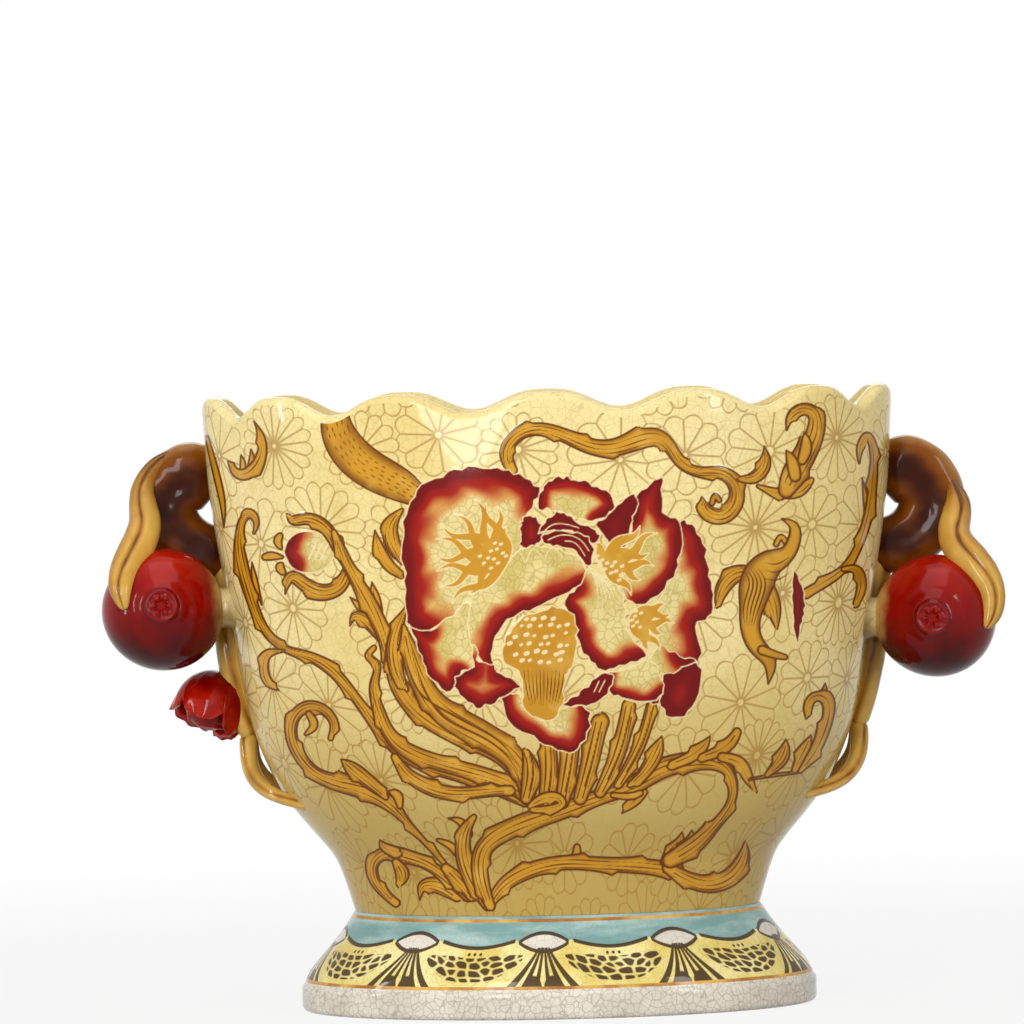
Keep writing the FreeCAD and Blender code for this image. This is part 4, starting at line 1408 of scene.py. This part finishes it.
# Tendril routes, in fruit radii from the middle of the fruit: (outward, forward, up, thickness).
TENDRILS = {
    "left": (
        (-0.30, -0.62, 2.60, 0.05),
        (0.06, -0.54, 2.40, 0.11),
        (0.31, -0.36, 1.96, 0.18),
        (0.27, -0.10, 1.48, 0.25),
        (0.36, 0.15, 1.12, 0.27),
        (0.56, 0.45, 0.72, 0.25),
        (0.64, 0.74, 0.36, 0.18),
        (0.58, 0.84, 0.04, 0.06),
    ),
    "right": (
        (0.30, -0.55, 2.26, 0.04),
        (0.42, -0.32, 1.82, 0.20),
        (0.34, -0.08, 1.42, 0.25),
        (0.42, 0.15, 1.11, 0.27),
        (0.70, 0.36, 0.78, 0.26),
        (0.90, 0.46, 0.40, 0.21),
        (0.88, 0.54, 0.03, 0.16),
        (0.78, 0.62, -0.20, 0.06),
    ),
}
CREASE_SIDE = 0.25


def build_tendril(side, material):
    """An offshoot with a crease along it, which drapes from the branch over the fruit."""
    middle = fruit_middle(side)
    knots = []
    for outward, forward, up, thickness in TENDRILS[side]:
        place = middle + np.array([SIDES[side] * outward, -forward, up]) * FRUIT_RADIUS
        knots.append((*place, thickness * FRUIT_RADIUS))

    def creased(share, turn):
        return 0.06 * np.cos(2 * (turn - CREASE_SIDE) + math.pi) - 0.14 * hill(turn, CREASE_SIDE, 0.22)

    grid, share, turn = tube(knots, side, creased)
    # The crease is painted darker as painted shade; the second dip is a darker tan side of the glaze, and the
    # start is browned to meet the branch.
    tone = 0.72 - 0.55 * hill(turn, CREASE_SIDE, 0.2) - 0.32 * hill(turn, CREASE_SIDE + 1.1, 0.45)
    tone = np.clip(tone - 0.45 * hill(share, 0.0, 0.22) + 0.10 * bumps(grid, 20, 15), 0, 1)
    piece = grid_piece(f"{side}_draped_tendril", grid, material, {"tone": tone})
    dress(piece, f"{side}_tendril")


def axis_frame(facing):
    """Two directions across an axis, and the axis itself, as rows."""
    axis = np.asarray(facing, float)
    axis /= np.linalg.norm(axis)
    first = np.cross(axis, [0, 0, 1])
    if np.linalg.norm(first) < 0.1:
        first = np.cross(axis, [0, 1, 0])
    first /= np.linalg.norm(first)
    return np.array([first, np.cross(axis, first), axis])


CALYX_FACING = {"left": (0.02, -1, 0.10), "right": (-0.10, -1, 0.01)}
CALYX_LOBES = 6
CALYX_RADIUS = 7.8
CALYX_ROWS = 70
CALYX_COLUMNS = 144


def ball(middle, axes, radius_at, rows=FRUIT_ROWS, columns=FRUIT_COLUMNS):
    """A round body about an axis; radius_at gives the radius by the angle from the axis and round it."""
    polar = np.linspace(POLE_GAP, math.pi - POLE_GAP, rows)[:, None]
    turn = np.linspace(0, 2 * math.pi, columns, endpoint=False)[None]
    radius = radius_at(polar, turn)
    across = np.sin(polar) * radius
    return middle + round_places(turn, across, across, np.cos(polar) * radius) @ axes


def build_fruit(side, material):
    middle = fruit_middle(side)
    axes = axis_frame(CALYX_FACING[side])

    def swollen(polar, turn):
        boss = 1.5 * (1 - smoothstep(0.26, 0.50, polar))
        return FRUIT_RADIUS + boss + 0.2 * np.sin(3 * turn + 1) * np.sin(polar) ** 2

    grid = ball(middle, axes, swollen)
    up = (grid[..., 2] - middle[2]) / FRUIT_RADIUS
    toward_wall = -SIDES[side] * (grid[..., 0] - middle[0]) / FRUIT_RADIUS
    # Lighter on top and darker underneath: painted light and painted shade.
    tone = np.clip(0.46 + 0.42 * up + 0.08 * bumps(grid, 24, 33), 0, 1)
    pale = smoothstep(0.78, 1.04, toward_wall + 0.12 * up + 0.04 * bumps(grid, 12, 35))
    piece = grid_piece(f"{side}_pomegranate_fruit", grid, material, {"tone": tone, "pale": pale})
    dress(piece, f"{side}_pomegranate")


def build_calyx(side, material):
    """The crown of the fruit: a soft ring round a small star of sepals."""
    middle = fruit_middle(side)
    axes = axis_frame(CALYX_FACING[side])
    turn = np.linspace(0, 2 * math.pi, CALYX_COLUMNS, endpoint=False)[None]
    share = np.linspace(0.01, 1.0, CALYX_ROWS)[:, None]
    lobes = (0.5 + 0.5 * np.cos(CALYX_LOBES * turn)) ** 0.8
    ring = 1.0 * hill(share, 0.80, 0.13)
    star = 1.5 * hill(share, 0.42, 0.19) * (0.2 + 0.8 * lobes)
    height = FRUIT_RADIUS + 1.3 + ring + star - 0.5 * hill(share, 0.0, 0.16) - 1.0 * share ** 6
    face = round_places(turn, CALYX_RADIUS * share, CALYX_RADIUS * share, height)
    back = face[::-8].copy()
    back[..., 2] = FRUIT_RADIUS - 1.5
    local = np.concatenate([face, back])
    # Higher parts lighter and the recesses of the star darker: painted light and shade.
    tone = np.clip(0.34 + 0.17 * (local[..., 2] - FRUIT_RADIUS - 1.2), 0, 1)
    layers = {"tone": tone, "pale": 0 * tone}
    piece = grid_piece(f"{side}_star_calyx", middle + local @ axes, material, layers)
    dress(piece, f"{side}_calyx")


PAD_SETBACK = 4
PAD_SUNK = 3
PAD_ROWS = 70
# Fruit pad: (share of the way from the wall to the middle of the fruit, radius).
PAD_SHARES = ((0.0, 11), (0.13, 8.5), (0.24, 8.5), (0.4, 10))


def build_pad(side, material):
    """The lump of clay that joins the fruit to the wall."""
    middle = fruit_middle(side)
    wall = middle[0] - SIDES[side] * (FRUIT_RADIUS + FRUIT_GAP + PAD_SUNK)
    way = middle[0] - wall
    knots = [(wall + way * share, middle[1] + PAD_SETBACK, middle[2], radius) for share, radius in PAD_SHARES]
    grid, _, _ = tube(knots, side, lambda share, turn: 0 * share * turn, along=PAD_ROWS, rounded=False)
    # Lighter on top and darker below: painted light and shade on the pad.
    tone = np.clip(0.55 + 0.035 * (grid[..., 2] - middle[2]) + 0.15 * bumps(grid, 12, 43), 0, 1)
    piece = grid_piece(f"{side}_luting_pad", grid, material, {"tone": tone})
    dress(piece, f"{side}_fruit_pad")


# Stem and root routes as shares, the same as in the part's own source.
STEM_SHARES = ((0.0, 0.1, 0.5), (0.3, 0.4, 0.1), (0.55, 0.55, 0.0), (0.8, 0.55, 0.4), (1.0, 0.5, 1.0))
ROOT_SHARES = {
    "front_root": (
        (0.0, -0.1, 0.5, 0.0),
        (0.10, 0.33, 1.15, 0.1),
        (0.36, 0.64, 1.25, 0.3),
        (0.68, 0.85, 0.75, 0.6),
        (1.0, 1.0, -0.55, 1.0),
    ),
    "back_root": (
        (0.0, -0.1, 0.5, 0.0),
        (-0.10, 0.36, 1.05, 0.1),
        (-0.30, 0.70, 1.0, 0.3),
        (-0.52, 0.92, 0.5, 0.6),
        (-0.76, 1.06, -0.55, 1.0),
    ),
}


def twig(name, knots, side, material, node):
    """A slightly flattened limb with a crease that turns as it runs."""

    def flattened(share, turn):
        return 0.08 * np.cos(2 * turn) - 0.12 * hill(turn, 0.7 - 1.2 * share, 0.3)

    grid, share, turn = tube(knots, side, flattened, TWIG_ALONG, TWIG_AROUND)
    # The turning crease is painted darker as painted shade; the limb is also darker on the side away from the
    # bowl.
    tone = 0.86 - 0.55 * hill(turn, 0.7 - 1.2 * share, 0.32) - 0.30 * hill(turn, 1.6, 0.4)
    tone = np.clip(tone + 0.14 * bumps(grid, 18, len(name)), 0, 1)
    piece = grid_piece(name, grid, material, {"tone": tone})
    dress(piece, node)


def build_stem_and_roots(side, material):
    top = BRANCH_HEIGHT[side] - BRANCH_HALF_SPAN
    knots = []
    for down, lift, taper in STEM_SHARES:
        radius = STEM_RADIUS + taper * (STEM_END_RADIUS - STEM_RADIUS)
        height = top - down * (top - FORK_HEIGHT)
        knots.append((*wall_point(side, STEM_SETBACK, height, lift * STEM_RADIUS), radius))
    twig(f"{side}_wall_stem", knots, side, material, f"{side}_stem")
    for name, shares in ROOT_SHARES.items():
        knots = []
        for forward, down, lift, taper in shares:
            along = STEM_SETBACK - forward * ROOT_SPREAD
            height = FORK_HEIGHT - down * ROOT_DROP
            radius = ROOT_RADIUS + taper * (ROOT_TIP_RADIUS - ROOT_RADIUS)
            knots.append((*wall_point(side, along, height, lift * STEM_RADIUS), radius))
        twig(f"{side}_{name}_prong", knots, side, material, f"{side}_{name}")


BLOSSOM_PETALS = 5
BUD_ROWS = 90
BUD_COLUMNS = 120
BUD_FOLD_DEPTH = 0.8
PETAL_ROWS = 46
PETAL_COLUMNS = 40


def rose_petal(number):
    """One outer petal as rings round a thin curved sheet, in the axes of the bud."""
    across = np.linspace(-1, 1, PETAL_COLUMNS)
    middle = 2 * math.pi * number / BLOSSOM_PETALS
    rings = []
    for share in np.linspace(0, 1, PETAL_ROWS):
        polar = math.pi * (0.92 - 0.62 * share) + 0.10 * share * across**2
        turn = middle + 0.80 * math.sin(math.pi * (0.10 + 0.80 * share)) ** 0.6 * across
        flare = 1.0 + 2.4 * share**3
        lie = 0.5 * share**2 * np.sin(5 * across + number) + across**2 * share
        faces = []
        for lift in (1.5 + flare + lie, 0.2 + 0.6 * flare + lie):
            radius = BUD_RADIUS + lift
            flat = np.sin(polar) * radius
            faces.append(round_places(turn, flat, flat, np.cos(polar) * radius))
        rings.append(np.concatenate([faces[0], faces[1][::-1]]))
    return np.array(rings)


def build_blossom(side, material):
    """A hanging bud with a spiral of folded petals, and the outer petals that wrap it."""
    place = np.array(wall_point(side, BLOSSOM_SETBACK, BLOSSOM_HEIGHT, BLOSSOM_REACH))
    axes = axis_frame((SIDES[side] * math.sin(BLOSSOM_LEAN), -0.25, -math.cos(BLOSSOM_LEAN)))

    def folded(polar, turn):
        fold = 1.1 * np.maximum(0, np.cos(3 * turn + 7 * polar)) ** 3 * np.sin(polar) ** 0.5
        return BUD_RADIUS - BUD_FOLD_DEPTH + fold

    grid = ball(place, axes, folded, BUD_ROWS, BUD_COLUMNS)
    fold = np.linalg.norm(grid - place, axis=-1) - BUD_RADIUS + BUD_FOLD_DEPTH
    # Folds lighter and the grooves between them darker: painted light and shade.
    tone = np.clip(0.55 + 0.3 * fold, 0, 1)
    piece = grid_piece(f"{side}_rose_bud", grid, material, {"tone": tone, "pale": 0 * tone})
    dress(piece, f"{side}_blossom_bud")
    for number in range(BLOSSOM_PETALS):
        grid = place + rose_petal(number) @ axes
        share = np.linspace(0, 1, PETAL_ROWS)[:, None]
        tone = np.clip(0.42 + 0.50 * share + 0.15 * bumps(grid, 9, 71 + number), 0, 1)
        layers = {"tone": tone, "pale": 0 * tone}
        piece = grid_piece(f"{side}_rose_petal_{number + 1}", grid, material, layers)
        dress(piece, f"{side}_blossom_petals")


# Colours of the handles
BARK_DARK_AND_HOLLOW_SHADE = srgb(58, 22, 0)
BARK_BROWN = srgb(122, 66, 16)
BARK_TAN_AND_HIGHLIGHT = srgb(176, 128, 72)
BARK_STREAK = srgb(44, 18, 3)
FRUIT_SHADED_DARK = srgb(66, 0, 0)
FRUIT_RED = srgb(132, 8, 2)
FRUIT_LIT_BRIGHT = srgb(182, 36, 14)
FRUIT_STAIN = srgb(92, 6, 3)
FRUIT_BARE = srgb(206, 168, 92)
OCHRE_DARK_AND_CREASE_SHADE = srgb(96, 54, 14)
OCHRE_MIDDLE = srgb(184, 130, 50)
OCHRE_PALE = srgb(212, 172, 84)
OCHRE_STREAK = srgb(140, 92, 34)
LUTING_SHADED_DARK = srgb(150, 124, 70)
LUTING_LIT_PALE = srgb(216, 198, 144)
LUTING_CRACK = srgb(120, 92, 46)


def bark_glaze():
    paint = Paint("brown_bark_glaze", roughness=0.24, coat=0.16)
    tone = paint.layer("tone")
    # Dark brown where the tone is low, which is mostly the painted shade of the front hollow.
    paint.colour = paint.blend(BARK_DARK_AND_HOLLOW_SHADE, BARK_BROWN, paint.ramp(tone, 0.05, 0.5))
    # Tan on the ridge: tan glaze with a painted highlight.
    paint.over(BARK_TAN_AND_HIGHLIGHT, paint.ramp(tone, 0.5, 1.0, 0, 0.9))
    paint.over(BARK_STREAK, paint.ramp(paint.noise(60, scale=(1, 1, 0.35)), 0.55, 0.75, 0, 0.4))
    return paint.finish()


def fruit_glaze():
    paint = Paint("red_fruit_glaze", roughness=0.16, coat=0.22)
    tone = paint.layer("tone")
    # The tone layer carries painted light and shade on the fruit, calyx and bud: brighter where high or
    # raised, darker below and in recesses.
    paint.colour = paint.blend(FRUIT_SHADED_DARK, FRUIT_RED, paint.ramp(tone, 0.1, 0.55))
    paint.over(FRUIT_LIT_BRIGHT, paint.ramp(tone, 0.55, 1.0, 0, 0.85))
    paint.over(FRUIT_STAIN, paint.ramp(paint.noise(60), 0.5, 0.75, 0, 0.35))
    paint.over(FRUIT_BARE, paint.layer("pale"))
    return paint.finish()


def ochre_glaze():
    paint = Paint("ochre_glaze", roughness=0.18, coat=0.3)
    tone = paint.layer("tone")
    # Dark ochre in the painted shade of the creases, and where the glaze itself is darker.
    paint.colour = paint.blend(OCHRE_DARK_AND_CREASE_SHADE, OCHRE_MIDDLE, paint.ramp(tone, 0.1, 0.5))
    paint.over(OCHRE_PALE, paint.ramp(tone, 0.45, 0.95))
    paint.over(OCHRE_STREAK, paint.ramp(paint.noise(45, scale=(1, 1, 0.4)), 0.52, 0.75, 0, 0.4))
    return paint.finish()


def luting_glaze():
    paint = Paint("cream_luting_glaze", roughness=0.18, coat=0.25)
    tone = paint.layer("tone")
    # Pale where lit on top and dark in the painted shade below.
    paint.colour = paint.blend(LUTING_SHADED_DARK, LUTING_LIT_PALE, paint.ramp(tone, 0.1, 0.8))
    paint.over(LUTING_CRACK, paint.ramp(paint.cracks(300), 0.06, 0.0, 0, 0.35))
    return paint.finish()


def build_handles():
    bark, red, ochre, luting = bark_glaze(), fruit_glaze(), ochre_glaze(), luting_glaze()
    for side in SIDES:
        build_branch(side, bark)
        build_fruit(side, red)
        build_calyx(side, red)
        build_pad(side, luting)
        build_tendril(side, ochre)
        build_stem_and_roots(side, ochre)
    build_blossom("left", red)


# Floor, light and camera
FLOOR_HALF_SIDE = 6.0
# Lights: (name, place, (width, height), power), in metres and watts.
LIGHTS = (
    ("left_strip", (-0.59, -1.59, 0.62), (0.28, 1.2), 16),
    ("right_strip", (1.22, -1.18, 0.62), (0.24, 1.2), 11),
    ("left_side", (-1.65, -0.5, 0.55), (0.1, 1.0), 8),
    ("front_fill", (0.0, -3.2, 1.8), (2.0, 1.2), 8),
    ("overhead", (0.0, -0.3, 2.3), (1.8, 1.8), 14),
    ("back_fill", (0.0, 3.2, 1.8), (2.0, 1.2), 14),
)
LIGHT_AIM = Vector((0, 0, 0.14))
SENSOR = 36.0
SIGHT_END = 50
WORLD_STRENGTH = 0.15
WHITE = (1, 1, 1, 1)
FLOOR_COLOUR = (0.46, 0.46, 0.45, 1)
FLOOR_ROUGHNESS = 0.9
FLOOR_SPECULAR = 0.1
FLOOR_GLOW = 0.88
FLOOR_FADE = (0.25, 1.1)


def look(place, aim, roll=0.0):
    """A transform at place that faces aim along its own -Z."""
    turned = (Vector(aim) - Vector(place)).to_track_quat("-Z", "Y").to_matrix().to_4x4()
    return Matrix.Translation(place) @ turned @ Matrix.Rotation(roll, 4, "Z")


def build_floor():
    """A floor that takes shadows near the part and fades to white further out."""
    half = FLOOR_HALF_SIDE
    mesh = bpy.data.meshes.new("floor")
    corners = [(-half, -half, 0), (half, -half, 0), (half, half, 0), (-half, half, 0)]
    mesh.from_pydata(corners, [], [(0, 1, 2, 3)])
    material = bpy.data.materials.new("pale_floor")
    material.use_nodes = True
    nodes, links = material.node_tree.nodes, material.node_tree.links
    surface = nodes["Principled BSDF"]
    surface.inputs["Base Color"].default_value = FLOOR_COLOUR
    surface.inputs["Roughness"].default_value = FLOOR_ROUGHNESS
    surface.inputs["Specular IOR Level"].default_value = FLOOR_SPECULAR
    glow = nodes.new("ShaderNodeEmission")
    glow.inputs["Color"].default_value = WHITE
    away = nodes.new("ShaderNodeVectorMath")
    away.operation = "LENGTH"
    links.new(nodes.new("ShaderNodeTexCoord").outputs["Object"], away.inputs[0])
    fade = nodes.new("ShaderNodeMapRange")
    fade.interpolation_type = "SMOOTHSTEP"
    for name, number in zip(("From Min", "From Max", "To Min", "To Max"), (*FLOOR_FADE, FLOOR_GLOW, 1.0)):
        fade.inputs[name].default_value = number
    links.new(away.outputs["Value"], fade.inputs["Value"])
    share = nodes.new("ShaderNodeMath")
    share.operation = "MULTIPLY"
    links.new(fade.outputs["Result"], share.inputs[1])
    links.new(seen_share(nodes, links), share.inputs[0])
    mix = nodes.new("ShaderNodeMixShader")
    links.new(share.outputs[0], mix.inputs["Fac"])
    links.new(surface.outputs[0], mix.inputs[1])
    links.new(glow.outputs[0], mix.inputs[2])
    links.new(mix.outputs[0], nodes["Material Output"].inputs["Surface"])
    mesh.materials.append(material)
    floor = bpy.data.objects.new("floor", mesh)
    bpy.context.scene.collection.objects.link(floor)


def seen_share(nodes, links):
    """1 for rays from the camera, from gloss and through glass, and 0 for the rest."""
    path = nodes.new("ShaderNodeLightPath")
    total = path.outputs["Is Camera Ray"]
    for name in ("Is Glossy Ray", "Is Transmission Ray"):
        join = nodes.new("ShaderNodeMath")
        join.operation = "MAXIMUM"
        links.new(total, join.inputs[0])
        links.new(path.outputs[name], join.inputs[1])
        total = join.outputs[0]
    return total


def build_world():
    """White where it is seen, and a faint even light for the rest."""
    world = bpy.data.worlds.new("studio")
    bpy.context.scene.world = world
    world.use_nodes = True
    nodes, links = world.node_tree.nodes, world.node_tree.links
    soft = nodes["Background"]
    soft.inputs["Color"].default_value = WHITE
    soft.inputs["Strength"].default_value = WORLD_STRENGTH
    white = nodes.new("ShaderNodeBackground")
    white.inputs["Color"].default_value = WHITE
    white.inputs["Strength"].default_value = 1.0
    mix = nodes.new("ShaderNodeMixShader")
    links.new(seen_share(nodes, links), mix.inputs["Fac"])
    links.new(soft.outputs[0], mix.inputs[1])
    links.new(white.outputs[0], mix.inputs[2])
    links.new(mix.outputs[0], nodes["World Output"].inputs["Surface"])


def build_lights():
    for name, place, (width, height), power in LIGHTS:
        lamp = bpy.data.lights.new(name, "AREA")
        lamp.shape = "RECTANGLE"
        lamp.size = width
        lamp.size_y = height
        lamp.energy = power
        light = bpy.data.objects.new(name, lamp)
        light.matrix_world = look(place, LIGHT_AIM)
        bpy.context.scene.collection.objects.link(light)


def build_camera():
    lens = bpy.data.cameras.new("camera")
    lens.sensor_width = SENSOR
    lens.lens = EYE_FOCAL * SENSOR / SHEET_SIDE
    lens.clip_end = SIGHT_END
    camera = bpy.data.objects.new("camera", lens)
    camera.matrix_world = look(Vector(EYE) * MM, Vector(EYE_AIM) * MM, EYE_ROLL)
    bpy.context.scene.collection.objects.link(camera)
    bpy.context.scene.camera = camera


build_bowl(bowl_glaze())
build_foot(foot_glaze())
build_handles()
build_floor()
build_world()
build_lights()
build_camera()
bpy.context.scene.view_settings.view_transform = "Standard"
